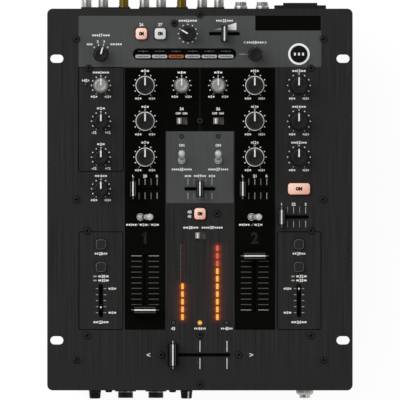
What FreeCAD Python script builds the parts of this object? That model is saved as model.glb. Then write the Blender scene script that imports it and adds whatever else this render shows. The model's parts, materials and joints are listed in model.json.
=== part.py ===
import FreeCAD, Part

import math
import os
from collections import namedtuple

from FreeCAD import Vector

# All sizes are millimetres. X points to the player's right, Y to the back, Z up. The origin is
# on the table, below the middle of the faceplate.

# Faceplate
PLATE_WIDTH = 254.0
PLATE_DEPTH = 317.5
PLATE_THICKNESS = 2.0
PLATE_CORNER_RADIUS = 4.6
RACK_SLOT_LENGTH = 10.8
RACK_SLOT_WIDTH = 6.8
RACK_SLOT_INSET = 8.0  # slot centre to the plate's side edge
RACK_SLOT_ROW = 117.1  # slot centre to the plate's middle, front to back

# Case
EAR_WIDTH = 19.5  # how far the plate overhangs the case at each side
EDGE_SETBACK = 0.5  # how far the case stays inside the plate's front and rear edges
CASE_HEIGHT = 81.0
CASE_WALL = 1.2
CASE_CORNER_RADIUS = 2.0
SIDE_LIP_WIDTH = 10.0
END_LIP_WIDTH = 7.0
EDGE_REACH = 7.2  # how far the front knobs stand out past the plate
FOOT_HEIGHT = 7.0
FOOT_DIAMETER = 18.0
FOOT_TOP_DIAMETER = 20.0
FOOT_INSET = 22.0  # foot centre to the case walls
FOOT_RECESS_DIAMETER = 9.0
FOOT_RECESS_DEPTH = 4.5

# Black pan head screws
SCREW_DIAMETER = 3.0
SCREW_HEAD_DIAMETER = 5.8
SCREW_HEAD_HEIGHT = 1.5
FRONT_SCREW_HEAD_HEIGHT = 2.5
SCREW_LENGTH = 7.0
SCREW_CLEARANCE = 0.2
SCREW_RECESS_LENGTH = 3.2
SCREW_RECESS_WIDTH = 0.7
SCREW_RECESS_DEPTH = 0.9
SIDE_SCREW_INSET = 4.9  # screw centre to the case's side
CORNER_SCREW_INSET = 25.35  # screw centre to the plate's front or rear edge
END_SCREW_INSET = 4.85
SPACER_INSET = 5.1  # centre of an outer spacer to the side lip
LEFT_SPACER_INSET = 3.7
CROSSFADER_SPACER_OFFSET = 9.7  # spacer centre to the end of the crossfader's travel
SPACER_DIAMETER = 5.2

# Control board, hung below the plate on spacers
BOARD_DROP = 12.0  # board top to plate underside
BOARD_THICKNESS = 1.6
BOARD_GAP = 0.7  # board edge to the case's lips

# Rotary controls
SHAFT_DIAMETER = 6.0
SHAFT_CLEARANCE = 0.35
SHAFT_HOLE_CLEARANCE = 0.7  # between a shaft and the plate
POT_WIDTH = 9.6
POT_LENGTH = 11.0
POT_HEIGHT = 7.0
POT_FLOOR = 1.5
BUSHING_WALL = 0.7
BUSHING_GAP = 0.3  # bushing top to plate underside
KNOB_GAP = 0.8  # knob bottom to plate
KNOB_EDGE = 0.7
KNOB_ROOF = 3.0
KNOB_FIT = 0.1
FLUTE_COUNT = 18
FLUTE_DIAMETER = 1.0
POINTER_WIDTH = 1.1
POINTER_DEPTH = 0.3

# Slide controls
LEVER_LENGTH = 4.0
LEVER_WIDTH = 1.2
LEVER_CLEARANCE = 0.4
PLATE_SLOT_CLEARANCE = 0.85
TRACK_WIDTH = 8.5
TRACK_HEIGHT = 9.0
TRACK_FLOOR = 1.5
TRACK_END = 2.5
SHORT_TRAVEL = 20.0
LONG_TRAVEL = 45.0
STUB_LENGTH = 6.0
STUB_WIDTH = 2.0
STUB_HEIGHT = 2.2
CAP_GAP = 0.8  # cap bottom to plate
CAP_FIT = 0.1
CAP_ROOF = 3.5
CAP_LINE_DEPTH = 0.3

# Push buttons
BUTTON_TRAVEL = 1.5
BUTTON_PROUD = 3.2
BUTTON_CLEARANCE = 0.4
BUTTON_FLANGE = 1.0
BUTTON_FLANGE_GAP = 0.1
BUTTON_EDGE = 0.6
BUTTON_STEM_DIAMETER = 3.4
SQUARE_BUTTON = 9.6
SMALL_BUTTON = 8.2
WIDE_BUTTON = 18.5
BUTTON_CORNER = 1.8
TAP_DIAMETER = 13.4
TAP_RING_DIAMETER = 17.9
TAP_RING_HEIGHT = 1.2
TACT_SIZE = 6.0
TACT_HEIGHT = 3.5
TACT_PLUNGER_DIAMETER = 3.4
TACT_PLUNGER_HEIGHT = 0.8

# Slide switches
SWITCH_KNOB_LENGTH = 4.4
SWITCH_KNOB_WIDTH = 5.2
SWITCH_KNOB_PROUD = 2.2
SWITCH_TRAVEL = 4.0
SWITCH_CLEARANCE = 0.45
SWITCH_WALL = 1.5
SWITCH_HEIGHT = 11.7
SWITCH_FLOOR = 10.4

# Toggle switches
TOGGLE_BUSHING_DIAMETER = 6.0
TOGGLE_BORE_DIAMETER = 5.0
TOGGLE_BUSHING_PROUD = 2.5
TOGGLE_BORE_DEPTH = 4.5  # below the pivot
TOGGLE_PIVOT_RISE = 1.5  # pivot above the plate
TOGGLE_PIVOT_DIAMETER = 4.2
TOGGLE_NECK_DIAMETER = 2.4
TOGGLE_NECK_LENGTH = 2.5
TOGGLE_TIP_DIAMETER = 5.6
TOGGLE_TIP_NECK_DIAMETER = 3.8
TOGGLE_LENGTH = 15.0  # pivot to the middle of the tip
TOGGLE_BODY_LENGTH = 12.5
TOGGLE_BODY_WIDTH = 7.0
TOGGLE_BODY_HEIGHT = 7.0
TOGGLE_HOLE_CLEARANCE = 0.3

# Lamps and meters
LAMP_FLANGE = 0.15  # how far lenses stand above the plate
LAMP_CLEARANCE = 0.3
LAMP_DIAMETER = 3.4
SMALL_LAMP_DIAMETER = 3.0
METER_COUNT = 10
METER_PITCH = 6.36
METER_BAR_LENGTH = 5.4
METER_BAR_WIDTH = 2.8
DISPLAY_COUNT = 6
DISPLAY_PITCH = 13.78
DISPLAY_BAR_LENGTH = 13.1
DISPLAY_BAR_WIDTH = 2.8

# Phono sockets on the rear wall
PHONO_PITCH = 14.0
PHONO_BLOCK_PITCH = 48.2
PHONO_FIRST_BLOCK = -87.5
PHONO_BLOCK_COUNT = 3
PHONO_MARGIN = 4.6  # socket centre to the edge of its block's flange
PHONO_FLANGE = 2.0
PHONO_BODY_DEPTH = 11.0
PHONO_BODY_INSET = 1.0
PHONO_CLEARANCE = 0.25
PHONO_SLEEVE_DIAMETER = 8.2
PHONO_SLEEVE_WALL = 0.45
PHONO_INSERT_GAP = 0.1
PHONO_INSERT_SETBACK = 0.6
PHONO_PIN_DIAMETER = 3.2
PHONO_PIN_DEPTH = 5.0
PHONO_REACH = 9.2  # from the wall's outer face to the sleeves' ends

# Ground terminals, on the flanges of the phono blocks to their left
TERMINAL_STUD_DIAMETER = 4.0
TERMINAL_WASHER_DIAMETER = 9.0
TERMINAL_WASHER_HEIGHT = 0.8
TERMINAL_NUT_DIAMETER = 7.8
TERMINAL_NUT_HEIGHT = 5.8
TERMINAL_STUD_DEPTH = 6.0  # behind the wall's outer face
TERMINAL_REACH = 9.2  # stud's end, out of the wall
TERMINAL_FIT = 0.1
TERMINAL_MARGIN = 5.4  # terminal centre to the right edge of its flange

# Jack sockets on both walls
JACK_BORE_DIAMETER = 6.5
JACK_BORE_DEPTH = 26.0  # behind the wall's outer face
JACK_BODY_WIDTH = 15.5
JACK_BODY_DEPTH = 28.0
JACK_THREAD_DIAMETER = 9.0
JACK_CLEARANCE = 0.3
JACK_NUT_FIT = 0.1
FRONT_JACK_FLANGE_DIAMETER = 17.5
FRONT_JACK_FLANGE_HEIGHT = 1.9
FRONT_JACK_NUT_DIAMETER = 12.2
FRONT_JACK_REACH = 7.0  # out of the wall
REAR_JACK_NUT_DIAMETER = 11.0
REAR_JACK_NUT_TOP_DIAMETER = 9.6
REAR_JACK_REACH = 6.3
REAR_JACK_PITCH = 17.8
MIC_JACK_NUT_DIAMETER = 14.5
MIC_JACK_NUT_TOP_DIAMETER = 10.4
MIC_JACK_NUT_RIM = 2.6  # height of the nut's straight rim
MIC_JACK_NUT_HEIGHT = 3.9
MIC_JACK_REACH = 6.6

# Mains inlet and power switch on the rear wall
INLET_FLANGE_WIDTH = 43.2
INLET_FLANGE_HEIGHT = 23.0
INLET_FLANGE_THICKNESS = 3.6
INLET_RIM_WIDTH = 28.4
INLET_RIM_HEIGHT = 21.4
INLET_RIM_PROUD = 5.6
INLET_MOUTH_WIDTH = 24.6
INLET_MOUTH_HEIGHT = 16.6
INLET_MOUTH_CORNER = 3.0
INLET_MOUTH_DEPTH = 20.0  # from the rim
INLET_BODY_DEPTH = 19.0  # behind the wall's outer face
INLET_CLEARANCE = 0.3
INLET_PIN_WIDTH = 2.0
INLET_PIN_HEIGHT = 4.0
INLET_PIN_LENGTH = 14.0
INLET_PIN_PITCH = 7.0
INLET_PIN_RISE = 2.0
ROCKER_LENGTH = 17.0
ROCKER_WIDTH = 11.0
ROCKER_TILT = 8.0
ROCKER_SETBACK = 0.6  # behind the wall's outer face, as the rocker is between its two tilts
ROCKER_RIDGE = 1.2  # how much lower the middle of the rocker is than its ends
ROCKER_PIVOT_DEPTH = 5.5  # behind the wall's outer face
ROCKER_ROOT = 2.0
ROCKER_GAP = 1.1
ROCKER_SIDE_GAP = 0.4
ROCKER_BEZEL = 2.0
ROCKER_BEZEL_HEIGHT = 0.4
ROCKER_FRAME_DEPTH = 17.0
ROCKER_CAVITY_DEPTH = 11.0
ROCKER_PIN_DIAMETER = 2.4
ROCKER_PIN_REACH = 1.0
ROCKER_PIN_CLEARANCE = 0.08

# Power supply
TRANSFORMER_LENGTH = 52.0
TRANSFORMER_WIDTH = 44.0
TRANSFORMER_HEIGHT = 40.0
TRANSFORMER_COIL_WIDTH = 30.0
TRANSFORMER_COIL_OVERHANG = 7.0
TRANSFORMER_X = 70.0
TRANSFORMER_REAR_GAP = 60.0  # transformer centre to the inside of the rear wall, past the inlet
SUPPLY_BOARD_WIDTH = 66.0
SUPPLY_BOARD_DEPTH = 70.0
SUPPLY_BOARD_X = -10.0
SUPPLY_BOARD_RISE = 8.0
SUPPLY_POST_DIAMETER = 5.0
SUPPLY_POST_INSET = 5.0
CAPACITOR_DIAMETER = 16.0
CAPACITOR_HEIGHT = 25.0
CAPACITOR_PITCH = 22.0

# Layout on the faceplate: columns are distances from the middle line, rows from the plate's middle
GAIN_COLUMN = 15.2
TONE_COLUMN = 45.6
SIDE_COLUMN = 82.35
EFFECT_TOP_ROW = 137.9
EFFECT_ROW = 120.9
TONE_ROW = 94.9
TONE_PITCH = 29.8
PAN_ROW = 8.9
INPUT_ROW = -14.5
CH1_INPUT_X = -49.5
CH2_INPUT_X = 42.8
CHANNEL_BUTTON_ROW = -11.85
STEREO_ROW = -29.9
EFFECT_SWITCH_ROW = 65.4
LOOP_LAMP_ROW = 52.7
LOOP_TOGGLE_ROW = 32.6
REVERSE_ROW = -37.3
MODE_ROW = -56.1
CONTOUR_ROW = -84.1
LEVEL_ROW = -69.35
CROSSFADER_ROW = -129.2
EFFECT_BUTTON_X = -48.7
EFFECT_CUE_X = -33.0
FREQUENCY_X = -10.1
INTENSITY_X = 20.4
EFFECT_SELECT_X = 45.8
CUE_PAN_X = 77.9
METER_COLUMN = 14.5
METER_ROW = -69.1
MODE_LAMP_COLUMN = 22.0
MODE_LAMP_ROW = -102.5
PEAK_LAMP_INSET = 2.4  # lamp centre to the left side lip
PEAK_LAMP_ROW = 95.7
DISPLAY_X = -12.85
DISPLAY_ROW = 119.0

# Layout on the front and rear walls, heights measured down from the faceplate's underside
FRONT_DROP = 30.0
FRONT_GROUP_X = -49.35  # middle of the front controls
FRONT_JACK_OFFSET = 12.65
FRONT_SCREW_OFFSET = 26.6
FRONT_KNOB_OFFSET = 38.1
MIC_JACK_X = 87.3
REAR_DROP = 24.0
REAR_ROW_PITCH = 20.0
REAR_JACK_X = 43.0
INLET_X = 83.55
INLET_DROP = 34.0
ROCKER_X = 43.0
ROCKER_DROP = 46.0

# Levels
CASE_TOP = FOOT_HEIGHT + CASE_HEIGHT
PLATE_TOP = CASE_TOP + PLATE_THICKNESS
BOARD_TOP = CASE_TOP - BOARD_DROP
CASE_WIDTH = PLATE_WIDTH - 2 * EAR_WIDTH
CASE_DEPTH = PLATE_DEPTH - 2 * EDGE_SETBACK
MOUTH_WIDTH = CASE_WIDTH - 2 * SIDE_LIP_WIDTH  # between the side lips
WALL_FACE = CASE_DEPTH / 2  # outer face of the front and rear walls
WALL_REACH = EDGE_SETBACK + EDGE_REACH  # from the front wall's outer face to the front knobs' tops

KnobStyle = namedtuple("KnobStyle", "skirt skirt_height body top height pointer")
SMALL_KNOB = KnobStyle(12.8, 2.0, 11.8, 10.6, 15.0, True)
TONE_KNOB = KnobStyle(15.6, 2.4, 13.4, 12.2, 16.5, True)
ENCODER_KNOB = KnobStyle(12.0, 1.2, 11.4, 10.6, 15.0, False)
FRONT_KNOB = KnobStyle(10.0, 1.0, 9.8, 9.0, WALL_REACH, True)

CapStyle = namedtuple("CapStyle", "width length height crest shoulder line")
SMALL_CAP = CapStyle(5.8, 13.5, 11.0, 3.6, 3.0, 1.2)
LARGE_CAP = CapStyle(8.6, 19.2, 12.0, 5.2, 3.0, 1.6)

FULL_TURN = (-150.0, 150.0)

# Knobs: node, style, x, y, pointer in degrees clockwise from the rear, limits from there
KNOBS = (
    ("effect_assign_knob", SMALL_KNOB, -SIDE_COLUMN, EFFECT_ROW, 15.0, (-60.0, 30.0)),
    ("mic_gain_knob", SMALL_KNOB, -SIDE_COLUMN, TONE_ROW, 0.0, FULL_TURN),
    ("mic_high_knob", SMALL_KNOB, -SIDE_COLUMN, TONE_ROW - TONE_PITCH, 0.0, FULL_TURN),
    ("mic_low_knob", SMALL_KNOB, -SIDE_COLUMN, TONE_ROW - 2 * TONE_PITCH, 0.0, FULL_TURN),
    ("aux_in_knob", SMALL_KNOB, -SIDE_COLUMN, PAN_ROW, 0.0, FULL_TURN),
    ("ch1_high_knob", TONE_KNOB, -TONE_COLUMN, TONE_ROW, 0.0, FULL_TURN),
    ("ch1_mid_knob", TONE_KNOB, -TONE_COLUMN, TONE_ROW - TONE_PITCH, 0.0, FULL_TURN),
    ("ch1_low_knob", TONE_KNOB, -TONE_COLUMN, TONE_ROW - 2 * TONE_PITCH, 0.0, FULL_TURN),
    ("ch1_gain_knob", SMALL_KNOB, -GAIN_COLUMN, TONE_ROW, 0.0, FULL_TURN),
    ("ch2_gain_knob", SMALL_KNOB, GAIN_COLUMN, TONE_ROW, 0.0, FULL_TURN),
    ("ch2_high_knob", TONE_KNOB, TONE_COLUMN, TONE_ROW, 0.0, FULL_TURN),
    ("ch2_mid_knob", TONE_KNOB, TONE_COLUMN, TONE_ROW - TONE_PITCH, 0.0, FULL_TURN),
    ("ch2_low_knob", TONE_KNOB, TONE_COLUMN, TONE_ROW - 2 * TONE_PITCH, 0.0, FULL_TURN),
    ("master_knob", TONE_KNOB, SIDE_COLUMN, TONE_ROW, 0.0, FULL_TURN),
    ("aux_out_knob", TONE_KNOB, SIDE_COLUMN, TONE_ROW - TONE_PITCH, 0.0, FULL_TURN),
    ("cue_gain_knob", TONE_KNOB, SIDE_COLUMN, TONE_ROW - 2 * TONE_PITCH, 0.0, FULL_TURN),
    ("frequency_knob", SMALL_KNOB, FREQUENCY_X, EFFECT_TOP_ROW, -60.0, (-90.0, 210.0)),
    ("effect_select_knob", ENCODER_KNOB, EFFECT_SELECT_X, EFFECT_ROW, 0.0, None),
)

# Front knobs: node, x, pointer in degrees clockwise from the top, limits from there
FRONT_KNOBS = (
    ("front_left_knob", FRONT_GROUP_X - FRONT_KNOB_OFFSET, -150.0, (0.0, 300.0)),
    ("front_right_knob", FRONT_GROUP_X + FRONT_KNOB_OFFSET, 20.0, (-170.0, 130.0)),
)

# Faders: node, cap, middle x, middle y, direction, travel, cap's place from the middle
FADERS = (
    ("intensity_fader", SMALL_CAP, INTENSITY_X, EFFECT_TOP_ROW, "x", SHORT_TRAVEL, 0.0),
    ("loop_fader", SMALL_CAP, 0.0, PAN_ROW, "x", SHORT_TRAVEL, 0.0),
    ("ch1_pan_fader", SMALL_CAP, -TONE_COLUMN, PAN_ROW, "x", SHORT_TRAVEL, -SHORT_TRAVEL / 2),
    ("ch2_pan_fader", SMALL_CAP, TONE_COLUMN, PAN_ROW, "x", SHORT_TRAVEL, -SHORT_TRAVEL / 2),
    ("cue_pan_fader", SMALL_CAP, CUE_PAN_X, INPUT_ROW, "x", SHORT_TRAVEL, -SHORT_TRAVEL / 2),
    ("ch1_level_fader", LARGE_CAP, -TONE_COLUMN, LEVEL_ROW, "y", LONG_TRAVEL, -LONG_TRAVEL / 2),
    ("ch2_level_fader", LARGE_CAP, TONE_COLUMN, LEVEL_ROW, "y", LONG_TRAVEL, LONG_TRAVEL / 2),
    ("crossfader", LARGE_CAP, 0.0, CROSSFADER_ROW, "x", LONG_TRAVEL, -LONG_TRAVEL / 2),
    ("left_contour_slider", None, -SIDE_COLUMN, CONTOUR_ROW, "y", SHORT_TRAVEL, -5.5),
    ("right_contour_slider", None, SIDE_COLUMN, CONTOUR_ROW, "y", SHORT_TRAVEL, SHORT_TRAVEL / 2),
)

# Push buttons: node, x, y, width, depth, corner radius
BUTTONS = (
    ("effect_button", EFFECT_BUTTON_X, EFFECT_TOP_ROW, SQUARE_BUTTON, SQUARE_BUTTON, BUTTON_CORNER),
    ("effect_cue_button", EFFECT_CUE_X, EFFECT_TOP_ROW, SQUARE_BUTTON, SQUARE_BUTTON, BUTTON_CORNER),
    ("channel_button", 0.0, CHANNEL_BUTTON_ROW, SQUARE_BUTTON, SQUARE_BUTTON, BUTTON_CORNER),
    ("cue_button", SIDE_COLUMN, PAN_ROW, WIDE_BUTTON, SQUARE_BUTTON, BUTTON_CORNER),
    ("tap_button", SIDE_COLUMN, EFFECT_ROW, TAP_DIAMETER, TAP_DIAMETER, TAP_DIAMETER / 2),
    ("left_reverse_button", -SIDE_COLUMN, REVERSE_ROW, SMALL_BUTTON, SMALL_BUTTON, BUTTON_CORNER),
    ("right_reverse_button", SIDE_COLUMN, REVERSE_ROW, SMALL_BUTTON, SMALL_BUTTON, BUTTON_CORNER),
    ("left_mode_button", -SIDE_COLUMN, MODE_ROW, SMALL_BUTTON, SMALL_BUTTON, BUTTON_CORNER),
    ("right_mode_button", SIDE_COLUMN, MODE_ROW, SMALL_BUTTON, SMALL_BUTTON, BUTTON_CORNER),
)

# Slide switches, whose knobs rest at the left end: node, x, y
SLIDE_SWITCHES = (
    ("ch1_effect_switch", -GAIN_COLUMN, EFFECT_SWITCH_ROW),
    ("ch2_effect_switch", GAIN_COLUMN, EFFECT_SWITCH_ROW),
    ("stereo_switch", 0.0, STEREO_ROW),
)

# Toggle switches: node, x, y, the side the lever leans to, its lean in degrees
TOGGLES = (
    ("ch1_loop_toggle", -GAIN_COLUMN, LOOP_TOGGLE_ROW, "rear", 22.0),
    ("ch2_loop_toggle", GAIN_COLUMN, LOOP_TOGGLE_ROW, "rear", 22.0),
    ("ch1_input_toggle", CH1_INPUT_X, INPUT_ROW, "right", 32.0),
    ("ch2_input_toggle", CH2_INPUT_X, INPUT_ROW, "right", 24.0),
)

# Screws in the plate that hold the board's spacers
SPACER_COLUMN = MOUTH_WIDTH / 2 - SPACER_INSET
LEFT_SPACER_COLUMN = MOUTH_WIDTH / 2 - LEFT_SPACER_INSET
CROSSFADER_SPACER_X = LONG_TRAVEL / 2 + CROSSFADER_SPACER_OFFSET
SPACER_SCREWS = (
    (-SPACER_COLUMN, 109.3),
    (SPACER_COLUMN, 109.3),
    (-21.4, 146.5),
    (0.0, 65.4),
    (-LEFT_SPACER_COLUMN, -25.9),
    (SPACER_COLUMN, -25.9),
    (14.4, -11.7),
    (-LEFT_SPACER_COLUMN, -113.1),
    (SPACER_COLUMN, -113.1),
    (0.0, -112.5),
    (-CROSSFADER_SPACER_X, CROSSFADER_ROW),
    (CROSSFADER_SPACER_X, CROSSFADER_ROW),
)


def box(x, y, low, size_x, size_y, height):
    """Block centred on x, y that stands on the level low."""
    return Part.makeBox(size_x, size_y, height, Vector(x - size_x / 2, y - size_y / 2, low))


def rod(x, y, low, diameter, height):
    """Upright cylinder that stands on the level low."""
    return Part.makeCylinder(diameter / 2, height, Vector(x, y, low))


def rounded_block(x, y, low, size_x, size_y, height, radius):
    """Upright block with round corners; a radius of half its width gives it round ends."""
    reach_x = size_x / 2 - radius
    reach_y = size_y / 2 - radius
    centres = ((reach_x, reach_y), (-reach_x, reach_y), (-reach_x, -reach_y), (reach_x, -reach_y))
    arcs = []
    for quarter, centre in enumerate(centres):
        points = []
        for eighth in range(3):
            angle = math.radians(90 * quarter + 45 * eighth)
            px = x + centre[0] + radius * math.cos(angle)
            py = y + centre[1] + radius * math.sin(angle)
            points.append(Vector(px, py, low))
        arcs.append(points)
    edges = [Part.Arc(*points).toShape() for points in arcs]
    for points, following in zip(arcs, arcs[1:] + arcs[:1]):
        if points[2].distanceToPoint(following[0]) > 1e-6:
            edges.append(Part.makeLine(points[2], following[0]))
    outline = Part.Wire(Part.__sortEdges__(edges))
    return Part.Face(outline).extrude(Vector(0, 0, height))


def moved(shape, x, y, z):
    return shape.translated(Vector(x, y, z))


def spun(shape, degrees):
    """Turn a shape about the Z axis, clockwise as seen from above."""
    return shape.rotated(Vector(0, 0, 0), Vector(0, 0, 1), -degrees)


def on_plate(shape, x, y):
    """Put a shape made about its own Z axis, with the plate's top at zero, in its place."""
    return moved(shape, x, y, PLATE_TOP)


def on_front(shape, x, drop):
    """Put a shape made with the wall's outer face at zero on the front wall."""
    upright = shape.rotated(Vector(0, 0, 0), Vector(1, 0, 0), 90)
    return moved(upright, x, -WALL_FACE, CASE_TOP - drop)


def on_rear(shape, x, drop):
    """Put a shape made with the wall's outer face at zero on the rear wall."""
    upright = shape.rotated(Vector(0, 0, 0), Vector(1, 0, 0), 90)
    turned_round = upright.rotated(Vector(0, 0, 0), Vector(0, 0, 1), 180)
    return moved(turned_round, x, WALL_FACE, CASE_TOP - drop)


def fluted_grip(style, low, high):
    """Tapering grip between two levels, with flutes that run along its taper from end to end."""
    grip = Part.makeCone(style.body / 2, style.top / 2, high - low, Vector(0, 0, low))
    flutes = []
    for flute in range(FLUTE_COUNT):
        angle = 2 * math.pi * (flute + 0.5) / FLUTE_COUNT
        outward = Vector(math.cos(angle), math.sin(angle), 0)
        start = outward * (style.body / 2) + Vector(0, 0, low)
        along = outward * (style.top / 2) + Vector(0, 0, high) - start
        overrun = along * (FLUTE_DIAMETER / along.Length)
        length = along.Length + 2 * FLUTE_DIAMETER
        flutes.append(Part.makeCylinder(FLUTE_DIAMETER / 2, length, start - overrun, along))
    return grip.cut(flutes)


def knob_cap(style):
    """Knob with a skirt, a fluted tapering grip, a pointer groove and a blind shaft socket."""
    skirt_top = KNOB_GAP + style.skirt_height
    edge_height = style.height - KNOB_EDGE
    skirt = rod(0, 0, KNOB_GAP, style.skirt, style.skirt_height)
    crown_radius = style.top / 2
    crown = Part.makeCone(crown_radius, crown_radius - KNOB_EDGE, KNOB_EDGE, Vector(0, 0, edge_height))
    cap = skirt.fuse([fluted_grip(style, skirt_top, edge_height), crown])
    socket_height = style.height - KNOB_ROOF - KNOB_GAP
    cuts = [rod(0, 0, KNOB_GAP, SHAFT_DIAMETER + 2 * KNOB_FIT, socket_height)]
    if style.pointer:
        groove_low = style.height - POINTER_DEPTH
        cuts.append(box(0, style.top / 4, groove_low, POINTER_WIDTH, style.top / 2, POINTER_DEPTH))
    return cap.cut(cuts)


def rotary(style, wall):
    """Knob cap, shaft, potentiometer and plate hole of one control, with the outer face at zero."""
    pot_low = -wall - BOARD_DROP
    pot_top = pot_low + POT_HEIGHT
    shaft_low = pot_low + POT_FLOOR + SHAFT_CLEARANCE
    shaft_top = style.height - KNOB_ROOF
    shaft = rod(0, 0, shaft_low, SHAFT_DIAMETER, shaft_top - shaft_low)
    bore = SHAFT_DIAMETER + 2 * SHAFT_CLEARANCE
    bushing = bore + 2 * BUSHING_WALL
    body_width = max(POT_WIDTH, bushing + 2 * BUSHING_WALL)
    pot = box(0, 0, pot_low, body_width, POT_LENGTH, POT_HEIGHT)
    pot = pot.fuse(rod(0, 0, pot_top, bushing, -wall - BUSHING_GAP - pot_top))
    pot = pot.cut(rod(0, 0, pot_low + POT_FLOOR, bore, BOARD_DROP))
    hole = rod(0, 0, -wall, SHAFT_DIAMETER + 2 * SHAFT_HOLE_CLEARANCE, wall)
    return knob_cap(style), shaft, pot, hole


def fader_cap(style):
    """Cap with sloping sides and a grooved crest, sliding along X, with a blind lever socket."""
    half = style.width / 2
    crest = style.crest / 2
    shoulder = CAP_GAP + style.shoulder
    outline = (
        (-half, CAP_GAP),
        (half, CAP_GAP),
        (half, shoulder),
        (crest, style.height),
        (-crest, style.height),
        (-half, shoulder),
    )
    points = [Vector(x, -style.length / 2, z) for x, z in outline]
    face = Part.Face(Part.makePolygon(points + points[:1]))
    cap = face.extrude(Vector(0, style.length, 0))
    socket_height = style.height - CAP_ROOF - CAP_GAP
    socket_length = LEVER_LENGTH + 2 * CAP_FIT
    socket = box(0, 0, CAP_GAP, socket_length, LEVER_WIDTH + 2 * CAP_FIT, socket_height)
    groove = box(0, 0, style.height - CAP_LINE_DEPTH, style.line, style.length, CAP_LINE_DEPTH)
    return cap.cut([socket, groove])


def fader(style, travel):
    """Moving pieces, track and plate slot of one slide control along X, the plate's top at zero."""
    length = LEVER_LENGTH if style else STUB_LENGTH
    width = LEVER_WIDTH if style else STUB_WIDTH
    lever_top = style.height - CAP_ROOF if style else STUB_HEIGHT
    track_low = -PLATE_THICKNESS - BOARD_DROP
    lever_low = track_low + TRACK_FLOOR + LEVER_CLEARANCE
    lever = box(0, 0, lever_low, length, width, lever_top - lever_low)
    moving = [fader_cap(style), lever] if style else [lever]
    track = box(0, 0, track_low, travel + length + 2 * TRACK_END, TRACK_WIDTH, TRACK_HEIGHT)
    channel_length = travel + length + 2 * LEVER_CLEARANCE
    channel_width = width + 2 * LEVER_CLEARANCE
    track = track.cut(box(0, 0, track_low + TRACK_FLOOR, channel_length, channel_width, TRACK_HEIGHT))
    slot_length = travel + length + 2 * PLATE_SLOT_CLEARANCE
    slot_width = width + 2 * PLATE_SLOT_CLEARANCE
    slot = rounded_block(
        0, 0, -PLATE_THICKNESS, slot_length, slot_width, PLATE_THICKNESS, slot_width / 2
    )
    return moving, track, slot


def push_button(width, depth, corner):
    """Button with its retaining flange and stem, its contact switch and the plate's opening."""
    flange_top = -PLATE_THICKNESS - BUTTON_FLANGE_GAP
    flange_low = flange_top - BUTTON_FLANGE
    tact_low = -PLATE_THICKNESS - BOARD_DROP
    plunger_top = tact_low + TACT_HEIGHT + TACT_PLUNGER_HEIGHT
    stem_low = plunger_top + BUTTON_TRAVEL + BUTTON_FLANGE_GAP
    cap = rounded_block(0, 0, flange_low, width, depth, BUTTON_PROUD - flange_low, corner)
    top_edges = [edge for edge in cap.Edges if edge.BoundBox.ZMin > BUTTON_PROUD - 1e-6]
    cap = cap.makeFillet(BUTTON_EDGE, top_edges)
    rim = 2 * (BUTTON_CLEARANCE + BUTTON_FLANGE)
    flange = rounded_block(0, 0, flange_low, width + rim, depth + rim, BUTTON_FLANGE, corner)
    stem = rod(0, 0, stem_low, BUTTON_STEM_DIAMETER, flange_low - stem_low)
    button = cap.fuse([flange, stem])
    tact = box(0, 0, tact_low, TACT_SIZE, TACT_SIZE, TACT_HEIGHT)
    tact = tact.fuse(rod(0, 0, tact_low + TACT_HEIGHT, TACT_PLUNGER_DIAMETER, TACT_PLUNGER_HEIGHT))
    gap = 2 * BUTTON_CLEARANCE
    corner_gap = corner + BUTTON_CLEARANCE
    opening = rounded_block(
        0, 0, -PLATE_THICKNESS, width + gap, depth + gap, PLATE_THICKNESS, corner_gap
    )
    return button, tact, opening


def slide_switch():
    """Knob at its left end, body and plate window of a slide switch, the plate's top at zero."""
    body_low = -PLATE_THICKNESS - BOARD_DROP
    knob_low = body_low + SWITCH_FLOOR + SWITCH_CLEARANCE
    window_length = SWITCH_KNOB_LENGTH + SWITCH_TRAVEL + 2 * SWITCH_CLEARANCE
    window_width = SWITCH_KNOB_WIDTH + 2 * SWITCH_CLEARANCE
    knob_height = SWITCH_KNOB_PROUD - knob_low
    knob = box(-SWITCH_TRAVEL / 2, 0, knob_low, SWITCH_KNOB_LENGTH, SWITCH_KNOB_WIDTH, knob_height)
    walls = 2 * SWITCH_WALL
    body = box(0, 0, body_low, window_length + walls, window_width + walls, SWITCH_HEIGHT)
    body = body.cut(box(0, 0, body_low + SWITCH_FLOOR, window_length, window_width, SWITCH_HEIGHT))
    window = box(0, 0, -PLATE_THICKNESS, window_length, window_width, PLATE_THICKNESS)
    return knob, body, window


def toggle_lever():
    """Bat lever with its pivot ball at zero and its tip straight up."""
    neck = rod(0, 0, 0, TOGGLE_NECK_DIAMETER, TOGGLE_NECK_LENGTH)
    grip_height = TOGGLE_LENGTH - TOGGLE_NECK_LENGTH
    grip = Part.makeCone(
        TOGGLE_NECK_DIAMETER / 2,
        TOGGLE_TIP_NECK_DIAMETER / 2,
        grip_height,
        Vector(0, 0, TOGGLE_NECK_LENGTH),
    )
    ball = Part.makeSphere(TOGGLE_PIVOT_DIAMETER / 2)
    tip = Part.makeSphere(TOGGLE_TIP_DIAMETER / 2, Vector(0, 0, TOGGLE_LENGTH))
    return ball.fuse([neck, grip, tip])


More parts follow.
